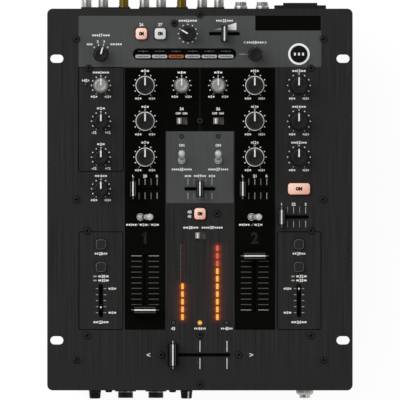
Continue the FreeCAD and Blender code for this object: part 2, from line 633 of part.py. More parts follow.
def toggle_switch(lean_to, lean):
    """Leaning lever, body with its bushing, and plate hole, with the plate's top at zero."""
    axis = Vector(-1, 0, 0) if lean_to == "rear" else Vector(0, 1, 0)
    lever = toggle_lever().rotated(Vector(0, 0, 0), axis, lean)
    lever = moved(lever, 0, 0, TOGGLE_PIVOT_RISE)
    body_low = -PLATE_THICKNESS - BOARD_DROP
    body_top = body_low + TOGGLE_BODY_HEIGHT
    body_x = TOGGLE_BODY_WIDTH if lean_to == "rear" else TOGGLE_BODY_LENGTH
    body_y = TOGGLE_BODY_LENGTH if lean_to == "rear" else TOGGLE_BODY_WIDTH
    body = box(0, 0, body_low, body_x, body_y, TOGGLE_BODY_HEIGHT)
    body = body.fuse(rod(0, 0, body_top, TOGGLE_BUSHING_DIAMETER, TOGGLE_BUSHING_PROUD - body_top))
    bore_low = TOGGLE_PIVOT_RISE - TOGGLE_BORE_DEPTH
    body = body.cut(rod(0, 0, bore_low, TOGGLE_BORE_DIAMETER, TOGGLE_BUSHING_PROUD - bore_low))
    hole_diameter = TOGGLE_BUSHING_DIAMETER + 2 * TOGGLE_HOLE_CLEARANCE
    hole = rod(0, 0, -PLATE_THICKNESS, hole_diameter, PLATE_THICKNESS)
    return lever, body, hole


def screw(head_height=SCREW_HEAD_HEIGHT):
    """Pan head screw with a cross recess; its head sits on the level zero."""
    head = rod(0, 0, 0, SCREW_HEAD_DIAMETER, head_height)
    rim = [edge for edge in head.Edges if edge.BoundBox.ZMin > head_height - 1e-6]
    head = head.makeFillet(head_height / 2, rim)
    recess_low = head_height - SCREW_RECESS_DEPTH
    across = box(0, 0, recess_low, SCREW_RECESS_LENGTH, SCREW_RECESS_WIDTH, SCREW_RECESS_DEPTH)
    along = box(0, 0, recess_low, SCREW_RECESS_WIDTH, SCREW_RECESS_LENGTH, SCREW_RECESS_DEPTH)
    shank = rod(0, 0, -SCREW_LENGTH, SCREW_DIAMETER, SCREW_LENGTH)
    return head.fuse(shank).cut([across, along])


def edge_screw_places():
    """Screws that hold the plate on the case's lips."""
    side_x = CASE_WIDTH / 2 - SIDE_SCREW_INSET
    corner_y = PLATE_DEPTH / 2 - CORNER_SCREW_INSET
    end_y = PLATE_DEPTH / 2 - END_SCREW_INSET
    places = [(0.0, end_y), (0.0, -end_y)]
    for side in (-side_x, side_x):
        for row in (-corner_y, 0.0, corner_y):
            places.append((side, row))
    return places


def foot_places():
    x = CASE_WIDTH / 2 - FOOT_INSET
    y = CASE_DEPTH / 2 - FOOT_INSET
    return [(-x, -y), (x, -y), (-x, y), (x, y)]


def lens(width, depth, x, y):
    """Lamp lens from the board to just above the plate."""
    return box(x, y, BOARD_TOP, width, depth, PLATE_TOP + LAMP_FLANGE - BOARD_TOP)


def round_lens(diameter, x, y):
    return rod(x, y, BOARD_TOP, diameter, PLATE_TOP + LAMP_FLANGE - BOARD_TOP)


def lamp_places():
    """Round lamps: diameter, x, y."""
    return (
        (SMALL_LAMP_DIAMETER, PEAK_LAMP_INSET - MOUTH_WIDTH / 2, PEAK_LAMP_ROW),
        (SMALL_LAMP_DIAMETER, -GAIN_COLUMN, LOOP_LAMP_ROW),
        (SMALL_LAMP_DIAMETER, GAIN_COLUMN, LOOP_LAMP_ROW),
        (LAMP_DIAMETER, -MODE_LAMP_COLUMN, MODE_LAMP_ROW),
        (LAMP_DIAMETER, 0.0, MODE_LAMP_ROW),
        (LAMP_DIAMETER, MODE_LAMP_COLUMN, MODE_LAMP_ROW),
    )


def indicator_lamps():
    """Meter bars, display bars, round lamps and the ring round the tap button."""
    lamps = []
    for column in (-METER_COLUMN, METER_COLUMN):
        for step in range(METER_COUNT):
            y = METER_ROW + (step - (METER_COUNT - 1) / 2) * METER_PITCH
            lamps.append(lens(METER_BAR_WIDTH, METER_BAR_LENGTH, column, y))
    for step in range(DISPLAY_COUNT):
        x = DISPLAY_X + (step - (DISPLAY_COUNT - 1) / 2) * DISPLAY_PITCH
        lamps.append(lens(DISPLAY_BAR_LENGTH, DISPLAY_BAR_WIDTH, x, DISPLAY_ROW))
    for diameter, x, y in lamp_places():
        lamps.append(round_lens(diameter, x, y))
    ring = rod(0, 0, 0, TAP_RING_DIAMETER, TAP_RING_HEIGHT)
    ring = ring.cut(rod(0, 0, 0, TAP_DIAMETER + 2 * BUTTON_CLEARANCE, TAP_RING_HEIGHT))
    lamps.append(on_plate(ring, SIDE_COLUMN, EFFECT_ROW))
    return lamps


def lamp_cuts():
    """Openings in the plate for the lamps."""
    gap = 2 * LAMP_CLEARANCE
    meter_length = (METER_COUNT - 1) * METER_PITCH + METER_BAR_LENGTH + gap
    cuts = []
    meter_width = METER_BAR_WIDTH + gap
    for column in (-METER_COLUMN, METER_COLUMN):
        cuts.append(box(column, METER_ROW, CASE_TOP, meter_width, meter_length, PLATE_THICKNESS))
    display_length = (DISPLAY_COUNT - 1) * DISPLAY_PITCH + DISPLAY_BAR_LENGTH + gap
    display_width = DISPLAY_BAR_WIDTH + gap
    cuts.append(box(DISPLAY_X, DISPLAY_ROW, CASE_TOP, display_length, display_width, PLATE_THICKNESS))
    for diameter, x, y in lamp_places():
        cuts.append(rod(x, y, CASE_TOP, diameter + gap, PLATE_THICKNESS))
    return cuts


def faceplate(control_cuts):
    """Plate with round corners, rack slots at its ears and an opening for each control and screw."""
    plate = rounded_block(
        0, 0, CASE_TOP, PLATE_WIDTH, PLATE_DEPTH, PLATE_THICKNESS, PLATE_CORNER_RADIUS
    )
    cuts = list(control_cuts) + lamp_cuts()
    slot_x = PLATE_WIDTH / 2 - RACK_SLOT_INSET
    for x in (-slot_x, slot_x):
        for y in (-RACK_SLOT_ROW, RACK_SLOT_ROW):
            cuts.append(rounded_block(
                x, y, CASE_TOP, RACK_SLOT_LENGTH, RACK_SLOT_WIDTH, PLATE_THICKNESS, RACK_SLOT_WIDTH / 2
            ))
    for x, y in edge_screw_places() + list(SPACER_SCREWS):
        cuts.append(rod(x, y, CASE_TOP, SCREW_DIAMETER + 2 * SCREW_CLEARANCE, PLATE_THICKNESS))
    return plate.cut(cuts)


def case_tub(wall_cuts):
    """Folded tub with lips turned in at the top, open below the plate."""
    tub = rounded_block(
        0, 0, FOOT_HEIGHT, CASE_WIDTH, CASE_DEPTH, CASE_HEIGHT, CASE_CORNER_RADIUS
    )
    inner_width = CASE_WIDTH - 2 * CASE_WALL
    inner_depth = CASE_DEPTH - 2 * CASE_WALL
    inner_height = CASE_HEIGHT - 2 * CASE_WALL
    cuts = [box(0, 0, FOOT_HEIGHT + CASE_WALL, inner_width, inner_depth, inner_height)]
    mouth_depth = CASE_DEPTH - 2 * END_LIP_WIDTH
    cuts.append(box(0, 0, CASE_TOP - CASE_WALL, MOUTH_WIDTH, mouth_depth, CASE_WALL))
    screw_hole = SCREW_DIAMETER + 2 * SCREW_CLEARANCE
    for x, y in edge_screw_places():
        cuts.append(rod(x, y, CASE_TOP - CASE_WALL, screw_hole, CASE_WALL))
    for x, y in foot_places():
        cuts.append(rod(x, y, FOOT_HEIGHT, screw_hole, CASE_WALL))
    return tub.cut(cuts + list(wall_cuts))


def rubber_feet():
    """Tapered feet with a recess for the screw."""
    feet = []
    for x, y in foot_places():
        foot = Part.makeCone(FOOT_DIAMETER / 2, FOOT_TOP_DIAMETER / 2, FOOT_HEIGHT, Vector(x, y, 0))
        recess = rod(x, y, 0, FOOT_RECESS_DIAMETER, FOOT_RECESS_DEPTH)
        hole = rod(x, y, 0, SCREW_DIAMETER + 2 * SCREW_CLEARANCE, FOOT_HEIGHT)
        feet.append(foot.cut([recess, hole]))
    return feet


def panel_screws():
    """Plate and foot screws, all alike, and front wall screws with higher heads."""
    screws = []
    for x, y in edge_screw_places() + list(SPACER_SCREWS):
        screws.append(on_plate(screw(), x, y))
    for offset in (-FRONT_SCREW_OFFSET, FRONT_SCREW_OFFSET):
        screws.append(on_front(screw(FRONT_SCREW_HEAD_HEIGHT), FRONT_GROUP_X + offset, FRONT_DROP))
    for x, y in foot_places():
        upside_down = screw().rotated(Vector(0, 0, 0), Vector(1, 0, 0), 180)
        screws.append(moved(upside_down, x, y, FOOT_RECESS_DEPTH))
    return screws


def control_board():
    """Board hung below the plate, with the spacers that carry it."""
    board_width = MOUTH_WIDTH - 2 * BOARD_GAP
    board_depth = CASE_DEPTH - 2 * END_LIP_WIDTH - 2 * BOARD_GAP
    board = box(0, 0, BOARD_TOP - BOARD_THICKNESS, board_width, board_depth, BOARD_THICKNESS)
    pieces = [board]
    for x, y in SPACER_SCREWS:
        spacer = rod(x, y, BOARD_TOP, SPACER_DIAMETER, BOARD_DROP)
        pieces.append(spacer.cut(rod(x, y, BOARD_TOP, SCREW_DIAMETER + 2 * SCREW_CLEARANCE, BOARD_DROP)))
    return pieces


def power_supply():
    """Mains transformer and the supply board beside it, both on the floor of the tub."""
    floor = FOOT_HEIGHT + CASE_WALL
    y = WALL_FACE - CASE_WALL - TRANSFORMER_REAR_GAP
    core = box(TRANSFORMER_X, y, floor, TRANSFORMER_LENGTH, TRANSFORMER_WIDTH, TRANSFORMER_HEIGHT)
    coil_depth = TRANSFORMER_WIDTH + 2 * TRANSFORMER_COIL_OVERHANG
    coil_height = TRANSFORMER_HEIGHT - 2 * TRANSFORMER_COIL_OVERHANG
    coil_low = floor + TRANSFORMER_COIL_OVERHANG
    coil = box(TRANSFORMER_X, y, coil_low, TRANSFORMER_COIL_WIDTH, coil_depth, coil_height)
    pieces = [core.cut(coil), coil]
    board_low = floor + SUPPLY_BOARD_RISE
    board = box(SUPPLY_BOARD_X, y, board_low, SUPPLY_BOARD_WIDTH, SUPPLY_BOARD_DEPTH, BOARD_THICKNESS)
    pieces.append(board)
    post_x = SUPPLY_BOARD_WIDTH / 2 - SUPPLY_POST_INSET
    post_y = SUPPLY_BOARD_DEPTH / 2 - SUPPLY_POST_INSET
    for side in (-post_x, post_x):
        for row in (-post_y, post_y):
            post = rod(SUPPLY_BOARD_X + side, y + row, floor, SUPPLY_POST_DIAMETER, SUPPLY_BOARD_RISE)
            pieces.append(post)
    for side in (-CAPACITOR_PITCH / 2, CAPACITOR_PITCH / 2):
        can_low = board_low + BOARD_THICKNESS
        pieces.append(rod(SUPPLY_BOARD_X + side, y, can_low, CAPACITOR_DIAMETER, CAPACITOR_HEIGHT))
    return pieces


def phono_block_places():
    return [PHONO_FIRST_BLOCK + step * PHONO_BLOCK_PITCH for step in range(PHONO_BLOCK_COUNT)]


def phono_block_drop():
    """Middle of a block, halfway between its two rows."""
    return REAR_DROP + REAR_ROW_PITCH / 2


def rca_sockets():
    """Blocks of four phono sockets: a housing, and a sleeve round an insert for each socket. A block's flange
    also carries the ground terminal to its right."""
    flange_height = REAR_ROW_PITCH + 2 * PHONO_MARGIN
    body_width = PHONO_PITCH + 2 * PHONO_MARGIN - 2 * PHONO_BODY_INSET
    body_height = flange_height - 2 * PHONO_BODY_INSET
    stud_hole = rod(0, 0, 0, TERMINAL_STUD_DIAMETER + 2 * JACK_CLEARANCE, PHONO_FLANGE)
    insert_diameter = PHONO_SLEEVE_DIAMETER - 2 * PHONO_SLEEVE_WALL - 2 * PHONO_INSERT_GAP
    insert_top = PHONO_REACH - PHONO_INSERT_SETBACK
    pieces = []
    for block_x in phono_block_places():
        left = block_x - PHONO_PITCH / 2 - PHONO_MARGIN
        right = block_x + PHONO_PITCH / 2 + PHONO_MARGIN
        terminals = [x for x in terminal_places() if left < x < block_x + PHONO_BLOCK_PITCH]
        for x in terminals:
            right = x + TERMINAL_MARGIN
        flange = box(0, 0, 0, right - left, flange_height, PHONO_FLANGE)
        flange = on_rear(flange, (left + right) / 2, phono_block_drop())
        body = box(0, 0, -PHONO_BODY_DEPTH, body_width, body_height, PHONO_BODY_DEPTH)
        body = on_rear(body, block_x, phono_block_drop())
        holes = [on_rear(stud_hole, x, REAR_DROP) for x in terminals]
        pieces.append(flange.fuse(body).cut(holes))
        for side in (-PHONO_PITCH / 2, PHONO_PITCH / 2):
            for row in (REAR_DROP, REAR_DROP + REAR_ROW_PITCH):
                length = PHONO_REACH - PHONO_FLANGE
                sleeve = rod(0, 0, PHONO_FLANGE, PHONO_SLEEVE_DIAMETER, length)
                bore = PHONO_SLEEVE_DIAMETER - 2 * PHONO_SLEEVE_WALL
                sleeve = sleeve.cut(rod(0, 0, PHONO_FLANGE, bore, length))
                insert = rod(0, 0, PHONO_FLANGE, insert_diameter, insert_top - PHONO_FLANGE)
                pin_low = insert_top - PHONO_PIN_DEPTH
                insert = insert.cut(rod(0, 0, pin_low, PHONO_PIN_DIAMETER, PHONO_PIN_DEPTH))
                pieces.append(on_rear(sleeve, block_x + side, row))
                pieces.append(on_rear(insert, block_x + side, row))
    return pieces


def phono_cuts():
    clearance = 2 * PHONO_CLEARANCE - 2 * PHONO_BODY_INSET
    width = PHONO_PITCH + 2 * PHONO_MARGIN + clearance
    height = REAR_ROW_PITCH + 2 * PHONO_MARGIN + clearance
    opening = box(0, 0, -CASE_WALL, width, height, CASE_WALL)
    return [on_rear(opening, block_x, phono_block_drop()) for block_x in phono_block_places()]


def terminal_places():
    """Ground terminals stand halfway between the middles of neighbouring phono blocks."""
    blocks = phono_block_places()
    return [(left + right) / 2 for left, right in zip(blocks, blocks[1:])]


def ground_terminals():
    """Threaded stud, washer and thumb nut of each terminal."""
    pieces = []
    bore = TERMINAL_STUD_DIAMETER + 2 * TERMINAL_FIT
    seat = PHONO_FLANGE
    nut_low = seat + TERMINAL_WASHER_HEIGHT
    nut_top = nut_low + TERMINAL_NUT_HEIGHT
    for x in terminal_places():
        stud = rod(0, 0, -TERMINAL_STUD_DEPTH, TERMINAL_STUD_DIAMETER, TERMINAL_STUD_DEPTH + TERMINAL_REACH)
        washer = rod(0, 0, seat, TERMINAL_WASHER_DIAMETER, TERMINAL_WASHER_HEIGHT)
        washer = washer.cut(rod(0, 0, seat, bore, TERMINAL_WASHER_HEIGHT))
        nut = rod(0, 0, nut_low, TERMINAL_NUT_DIAMETER, TERMINAL_NUT_HEIGHT)
        cuts = [rod(0, 0, nut_low, bore, TERMINAL_NUT_HEIGHT)]
        for flute in range(FLUTE_COUNT):
            angle = 2 * math.pi * flute / FLUTE_COUNT
            flute_x = TERMINAL_NUT_DIAMETER / 2 * math.cos(angle)
            flute_y = TERMINAL_NUT_DIAMETER / 2 * math.sin(angle)
            cuts.append(rod(flute_x, flute_y, nut_low, FLUTE_DIAMETER / 2, nut_top - nut_low))
        for piece in (stud, washer, nut.cut(cuts)):
            pieces.append(on_rear(piece, x, REAR_DROP))
    return pieces


def jack_socket(reach, nut):
    """One jack: a body with its threaded neck, and the nut that clamps it to the wall."""
    body_low = -CASE_WALL - JACK_BODY_DEPTH
    body = box(0, 0, body_low, JACK_BODY_WIDTH, JACK_BODY_WIDTH, JACK_BODY_DEPTH)
    body = body.fuse(rod(0, 0, -CASE_WALL, JACK_THREAD_DIAMETER, CASE_WALL + reach))
    body = body.cut(rod(0, 0, -JACK_BORE_DEPTH, JACK_BORE_DIAMETER, JACK_BORE_DEPTH + reach))
    nut = nut.cut(rod(0, 0, 0, JACK_THREAD_DIAMETER + 2 * JACK_NUT_FIT, reach))
    return body, nut


def front_jack_places():
    return (FRONT_GROUP_X - FRONT_JACK_OFFSET, FRONT_GROUP_X + FRONT_JACK_OFFSET)


def rear_jack_places():
    return (REAR_JACK_X - REAR_JACK_PITCH / 2, REAR_JACK_X + REAR_JACK_PITCH / 2)


def jack_sockets():
    """Jacks with flanged nuts and a microphone jack on the front wall, two jacks on the rear wall."""
    pieces = []
    flange = rod(0, 0, 0, FRONT_JACK_FLANGE_DIAMETER, FRONT_JACK_FLANGE_HEIGHT)
    front_nut = flange.fuse(rod(0, 0, 0, FRONT_JACK_NUT_DIAMETER, FRONT_JACK_REACH))
    for x in front_jack_places():
        for piece in jack_socket(FRONT_JACK_REACH, front_nut):
            pieces.append(on_front(piece, x, FRONT_DROP))
    mic_rim = rod(0, 0, 0, MIC_JACK_NUT_DIAMETER, MIC_JACK_NUT_RIM)
    mic_taper = Part.makeCone(
        MIC_JACK_NUT_DIAMETER / 2,
        MIC_JACK_NUT_TOP_DIAMETER / 2,
        MIC_JACK_NUT_HEIGHT - MIC_JACK_NUT_RIM,
        Vector(0, 0, MIC_JACK_NUT_RIM),
    )
    for piece in jack_socket(MIC_JACK_REACH, mic_rim.fuse(mic_taper)):
        pieces.append(on_front(piece, MIC_JACK_X, FRONT_DROP))
    rear_nut = Part.makeCone(REAR_JACK_NUT_DIAMETER / 2, REAR_JACK_NUT_TOP_DIAMETER / 2, REAR_JACK_REACH)
    for x in rear_jack_places():
        for piece in jack_socket(REAR_JACK_REACH, rear_nut):
            pieces.append(on_rear(piece, x, REAR_DROP))
    return pieces


def mains_inlet():
    """Three-pin inlet: a flanged housing with a deep mouth, and its pins."""
    flange = rounded_block(
        0, 0, 0, INLET_FLANGE_WIDTH, INLET_FLANGE_HEIGHT, INLET_FLANGE_THICKNESS, INLET_MOUTH_CORNER
    )
    rim = box(0, 0, 0, INLET_RIM_WIDTH, INLET_RIM_HEIGHT, INLET_RIM_PROUD)
    body = box(0, 0, -INLET_BODY_DEPTH, INLET_RIM_WIDTH, INLET_RIM_HEIGHT, INLET_BODY_DEPTH)
    mouth_low = INLET_RIM_PROUD - INLET_MOUTH_DEPTH
    mouth = rounded_block(
        0, 0, mouth_low, INLET_MOUTH_WIDTH, INLET_MOUTH_HEIGHT, INLET_MOUTH_DEPTH, INLET_MOUTH_CORNER
    )
    pieces = [on_rear(flange.fuse([rim, body]).cut(mouth), INLET_X, INLET_DROP)]
    for step in (-1, 0, 1):
        rise = INLET_PIN_RISE if step == 0 else -INLET_PIN_RISE
        x = step * INLET_PIN_PITCH
        pin = box(x, rise, mouth_low, INLET_PIN_WIDTH, INLET_PIN_HEIGHT, INLET_PIN_LENGTH)
        pieces.append(on_rear(pin, INLET_X, INLET_DROP))
    return pieces


def inlet_cut():
    width = INLET_RIM_WIDTH + 2 * INLET_CLEARANCE
    height = INLET_RIM_HEIGHT + 2 * INLET_CLEARANCE
    return on_rear(box(0, 0, -CASE_WALL, width, height, CASE_WALL), INLET_X, INLET_DROP)


def power_rocker():
    """Rocker with a hollowed top and a pivot pin, tilted to its off side."""
    half = ROCKER_LENGTH / 2
    root = -ROCKER_PIVOT_DEPTH - ROCKER_ROOT
    outline = (
        (-half, root),
        (half, root),
        (half, -ROCKER_SETBACK),
        (0, -ROCKER_SETBACK - ROCKER_RIDGE),
        (-half, -ROCKER_SETBACK),
    )
    points = [Vector(-ROCKER_WIDTH / 2, y, z) for y, z in outline]
    face = Part.Face(Part.makePolygon(points + points[:1]))
    rocker = face.extrude(Vector(ROCKER_WIDTH, 0, 0))
    pin_length = ROCKER_WIDTH + 2 * ROCKER_PIN_REACH
    pin_start = Vector(-pin_length / 2, 0, -ROCKER_PIVOT_DEPTH)
    pin = Part.makeCylinder(ROCKER_PIN_DIAMETER / 2, pin_length, pin_start, Vector(1, 0, 0))
    rocker = rocker.fuse(pin)
    rocker = rocker.rotated(Vector(0, 0, -ROCKER_PIVOT_DEPTH), Vector(1, 0, 0), ROCKER_TILT)
    return on_rear(rocker, ROCKER_X, ROCKER_DROP)


def rocker_frame_size():
    width = ROCKER_WIDTH + 2 * ROCKER_SIDE_GAP + 2 * ROCKER_BEZEL
    height = ROCKER_LENGTH + 2 * ROCKER_GAP + 2 * ROCKER_BEZEL
    return width, height


def rocker_frame():
    """Frame of the power switch, with the two sockets for the rocker's pin."""
    width, height = rocker_frame_size()
    bezel = box(0, 0, 0, width + 2 * ROCKER_BEZEL, height + 2 * ROCKER_BEZEL, ROCKER_BEZEL_HEIGHT)
    frame = bezel.fuse(box(0, 0, -ROCKER_FRAME_DEPTH, width, height, ROCKER_FRAME_DEPTH))
    cavity_width = ROCKER_WIDTH + 2 * ROCKER_SIDE_GAP
    cavity_height = ROCKER_LENGTH + 2 * ROCKER_GAP
    cavity_depth = ROCKER_CAVITY_DEPTH + ROCKER_BEZEL_HEIGHT
    cavity = box(0, 0, -ROCKER_CAVITY_DEPTH, cavity_width, cavity_height, cavity_depth)
    socket_length = ROCKER_WIDTH + 2 * ROCKER_PIN_REACH + 2 * ROCKER_PIN_CLEARANCE
    socket_start = Vector(-socket_length / 2, 0, -ROCKER_PIVOT_DEPTH)
    socket_radius = ROCKER_PIN_DIAMETER / 2 + ROCKER_PIN_CLEARANCE
    socket = Part.makeCylinder(socket_radius, socket_length, socket_start, Vector(1, 0, 0))
    return on_rear(frame.cut([cavity, socket]), ROCKER_X, ROCKER_DROP)


def rocker_cut():
    width, height = rocker_frame_size()
    gap = 2 * INLET_CLEARANCE
    return on_rear(box(0, 0, -CASE_WALL, width + gap, height + gap, CASE_WALL), ROCKER_X, ROCKER_DROP)


def wall_cuts(knob_hole):
    """Openings in the front and rear walls."""
    jack_hole = rod(0, 0, -CASE_WALL, JACK_THREAD_DIAMETER + 2 * JACK_CLEARANCE, CASE_WALL)
    screw_hole = rod(0, 0, -CASE_WALL, SCREW_DIAMETER + 2 * SCREW_CLEARANCE, CASE_WALL)
    stud_hole = rod(0, 0, -CASE_WALL, TERMINAL_STUD_DIAMETER + 2 * JACK_CLEARANCE, CASE_WALL)
    cuts = phono_cuts() + [inlet_cut(), rocker_cut()]
    cuts += [on_front(jack_hole, x, FRONT_DROP) for x in front_jack_places() + (MIC_JACK_X,)]
    cuts += [on_rear(jack_hole, x, REAR_DROP) for x in rear_jack_places()]
    cuts += [on_rear(stud_hole, x, REAR_DROP) for x in terminal_places()]
    cuts += [on_front(knob_hole, knob[1], FRONT_DROP) for knob in FRONT_KNOBS]
    for offset in (-FRONT_SCREW_OFFSET, FRONT_SCREW_OFFSET):
        cuts.append(on_front(screw_hole, FRONT_GROUP_X + offset, FRONT_DROP))
    return cuts


def controls():
    """All moving controls by node, with the fixed pieces and plate openings that go with them."""
    nodes = {}
    pots = []
    switches = []
    cuts = []
    for node, style, x, y, pointer, limits in KNOBS:
        cap, shaft, pot, hole = rotary(style, PLATE_THICKNESS)
        nodes[node] = [on_plate(spun(cap, pointer), x, y), on_plate(shaft, x, y)]
        pots.append(on_plate(pot, x, y))
        cuts.append(on_plate(hole, x, y))
    for node, x, pointer, limits in FRONT_KNOBS:
        cap, shaft, pot, hole = rotary(FRONT_KNOB, CASE_WALL)
        nodes[node] = [on_front(spun(cap, pointer), x, FRONT_DROP), on_front(shaft, x, FRONT_DROP)]
        pots.append(on_front(pot, x, FRONT_DROP))
    for node, style, x, y, along, travel, place in FADERS:
        moving, track, slot = fader(style, travel)
        quarter = 0 if along == "x" else -90
        nodes[node] = [on_plate(spun(moved(piece, place, 0, 0), quarter), x, y) for piece in moving]
        pots.append(on_plate(spun(track, quarter), x, y))
        cuts.append(on_plate(spun(slot, quarter), x, y))
    for node, x, y, width, depth, corner in BUTTONS:
        button, tact, opening = push_button(width, depth, corner)
        nodes[node] = [on_plate(button, x, y)]
        switches.append(on_plate(tact, x, y))
        cuts.append(on_plate(opening, x, y))
    for node, x, y in SLIDE_SWITCHES:
        knob, body, window = slide_switch()
        nodes[node] = [on_plate(knob, x, y)]
        switches.append(on_plate(body, x, y))
        cuts.append(on_plate(window, x, y))
    for node, x, y, lean_to, lean in TOGGLES:
        lever, body, hole = toggle_switch(lean_to, lean)
        nodes[node] = [on_plate(lever, x, y)]
        switches.append(on_plate(body, x, y))
        cuts.append(on_plate(hole, x, y))
    nodes["power_rocker"] = [power_rocker()]
    switches.append(rocker_frame())
    nodes["potentiometers"] = pots
    nodes["switch_bodies"] = switches
    return nodes, cuts


def mixer():
    """Every node of the mixer with its solids."""
    nodes, plate_cuts = controls()
    front_hole = rotary(FRONT_KNOB, CASE_WALL)[3]
    nodes["faceplate"] = [faceplate(plate_cuts)]
    nodes["case_tub"] = [case_tub(wall_cuts(front_hole))]
    nodes["rubber_feet"] = rubber_feet()
    nodes["panel_screws"] = panel_screws()
    nodes["control_board"] = control_board()
    nodes["power_supply"] = power_supply()
    nodes["indicator_lamps"] = indicator_lamps()
    nodes["rca_sockets"] = rca_sockets()
    nodes["ground_terminals"] = ground_terminals()
    nodes["jack_sockets"] = jack_sockets()
    nodes["mains_inlet"] = mains_inlet()
    return nodes


def main():
    os.makedirs("parts", exist_ok=True)
    for node, pieces in mixer().items():
        solids = [solid for piece in pieces for solid in piece.Solids]
        shape = solids[0] if len(solids) == 1 else Part.makeCompound(solids)
        shape.exportStep("parts/" + node + ".step")


if __name__ == "__main__":
    main()
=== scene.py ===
import json
import math
from collections import namedtuple
from functools import lru_cache
from itertools import count
from types import SimpleNamespace

import bmesh
import bpy
import numpy as np
from mathutils import Matrix, Vector


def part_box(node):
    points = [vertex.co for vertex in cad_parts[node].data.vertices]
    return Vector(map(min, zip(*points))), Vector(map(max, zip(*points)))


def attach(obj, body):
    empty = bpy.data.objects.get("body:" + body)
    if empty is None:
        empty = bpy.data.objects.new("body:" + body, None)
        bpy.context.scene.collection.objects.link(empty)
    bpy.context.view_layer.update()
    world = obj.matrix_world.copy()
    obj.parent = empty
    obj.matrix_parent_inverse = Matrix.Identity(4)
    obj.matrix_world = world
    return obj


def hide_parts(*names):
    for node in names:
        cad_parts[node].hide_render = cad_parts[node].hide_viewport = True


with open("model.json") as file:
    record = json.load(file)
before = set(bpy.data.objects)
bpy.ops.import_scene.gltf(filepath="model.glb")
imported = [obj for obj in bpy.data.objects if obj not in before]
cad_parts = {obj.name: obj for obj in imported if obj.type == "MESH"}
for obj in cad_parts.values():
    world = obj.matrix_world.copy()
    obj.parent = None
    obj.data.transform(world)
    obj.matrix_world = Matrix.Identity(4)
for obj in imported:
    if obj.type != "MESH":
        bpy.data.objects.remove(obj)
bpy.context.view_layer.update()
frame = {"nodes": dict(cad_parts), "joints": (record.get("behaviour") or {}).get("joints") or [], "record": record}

# Lengths in this script are millimetres, angles degrees. Meshes are written in metres.
MM = 0.001
CASE = "mixer_case"  # the body of everything that doesn't move
JOINTS = {joint["child"]: joint for joint in frame["joints"]}
MOUNTS = {mount["name"]: np.array(mount["pos_m"]) / MM for mount in frame["record"]["mounts"]}

Shape = namedtuple("Shape", "points faces")


class Box(namedtuple("Box", "low high")):
    """Corners of a CAD node or of one of its solids. Its place is the middle seen from above, and its bottom
    and top are levels over the plate's top."""

    middle = property(lambda box: (box.low + box.high) / 2)
    place = property(lambda box: box.middle[:2])
    size = property(lambda box: box.high - box.low)
    bottom = property(lambda box: box.low[2] - PLATE_TOP)
    top = property(lambda box: box.high[2] - PLATE_TOP)


def node_box(node):
    """Box of a CAD node."""
    return Box(*(np.array(corner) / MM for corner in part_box(node)))


PLATE_TOP = node_box("faceplate").high[2]
WALL_FACE = node_box("case_tub").high[1]

# Prints lie in thin layers on the plate, each a little above the one below it.
GLOW_LAYER = 0.02
AREA_LAYER = 0.03
PANEL_LAYER = 0.05
LEGEND_LAYER = 0.08

SIDES = 48  # round a turned piece
CORNER_STEPS = 5  # along a quarter circle of an outline
EDGE_STEPS = 4  # over a rounded edge
SOFT_STEPS = 3  # round a softened corner of a line
MERGE = 1e-4
SHARP_ANGLE = 38.0
ROUND_SPARE = 0.01  # a round outline's corner radius stays this far below half its width


def moving(ending):
    """Moving nodes whose names end in that way."""
    return [node for node in JOINTS if node.endswith(ending)]


def place_of(node):
    """Middle of a CAD node, seen from above."""
    return node_box(node).place


def places_in(mesh):
    """Points of a mesh."""
    places = np.empty(len(mesh.vertices) * 3, np.float32)
    mesh.vertices.foreach_get("co", places)
    return places.reshape(-1, 3)


def solids_of(node):
    """Box of each separate solid of a CAD node: points at one place are one point, and the lowest number
    spreads over the triangles until all of a solid holds the same number."""
    mesh = frame["nodes"][node].data
    places = places_in(mesh) / MM
    corners = np.empty(len(mesh.loops), np.int32)
    mesh.loops.foreach_get("vertex_index", corners)
    shared = np.unique(places.round(3), axis=0, return_inverse=True)[1].ravel()
    triangles = shared[corners].reshape(-1, 3)
    label = np.arange(shared.max() + 1)
    settled = False
    while not settled:
        spread = label.copy()
        np.minimum.at(spread, triangles.ravel(), np.repeat(label[triangles].min(axis=1), 3))
        spread = spread[spread]
        settled = np.array_equal(spread, label)
        label = spread
    owner = label[shared]
    solids = [places[owner == name] for name in np.unique(owner)]
    return [Box(solid.min(axis=0), solid.max(axis=0)) for solid in solids]


# Shapes

def woven(grid, around=True):
    """Four-sided faces between neighbours on a grid of points. The last column also meets the first, if the
    grid goes around."""
    index = np.arange(grid[..., 0].size).reshape(grid.shape[:2])
    if around:
        index = np.column_stack([index, index[:, 0]])
    corners = (index[:-1, :-1], index[:-1, 1:], index[1:, 1:], index[1:, :-1])
    return Shape(grid.reshape(-1, 3), np.stack(corners, axis=-1).reshape(-1, 4))


def closed(grid, crown=0.0):
    """A grid of rings whose first and last ring are drawn to their middle, the last one raised by crown."""
    middles = grid[[0, -1]].mean(axis=1, keepdims=True)
    middles[1, 0, 2] += crown
    ends = np.broadcast_to(middles, (2,) + grid.shape[1:])
    return np.concatenate([ends[:1], grid, ends[1:]])


def softened(corners, radius, ring=False):
    """A line with its corners rounded: each is the quadratic blend of the corner and the two points that lie
    radius, or just under half a side, before and after it."""
    corners = np.asarray(corners, float)
    blend = []
    for way in (np.roll(corners, 1, axis=0) - corners, np.roll(corners, -1, axis=0) - corners):
        length = np.linalg.norm(way, axis=1, keepdims=True)
        blend.append((corners + way * np.minimum(radius / length, 0.45))[:, None])
    share = np.linspace(0, 1, SOFT_STEPS + 1)[None, :, None]
    curve = (1 - share) ** 2 * blend[0] + 2 * share * (1 - share) * corners[:, None] + share**2 * blend[1]
    if not ring:
        curve[0] = corners[0]
        curve[-1] = corners[-1]
    return curve.reshape(-1, 2)


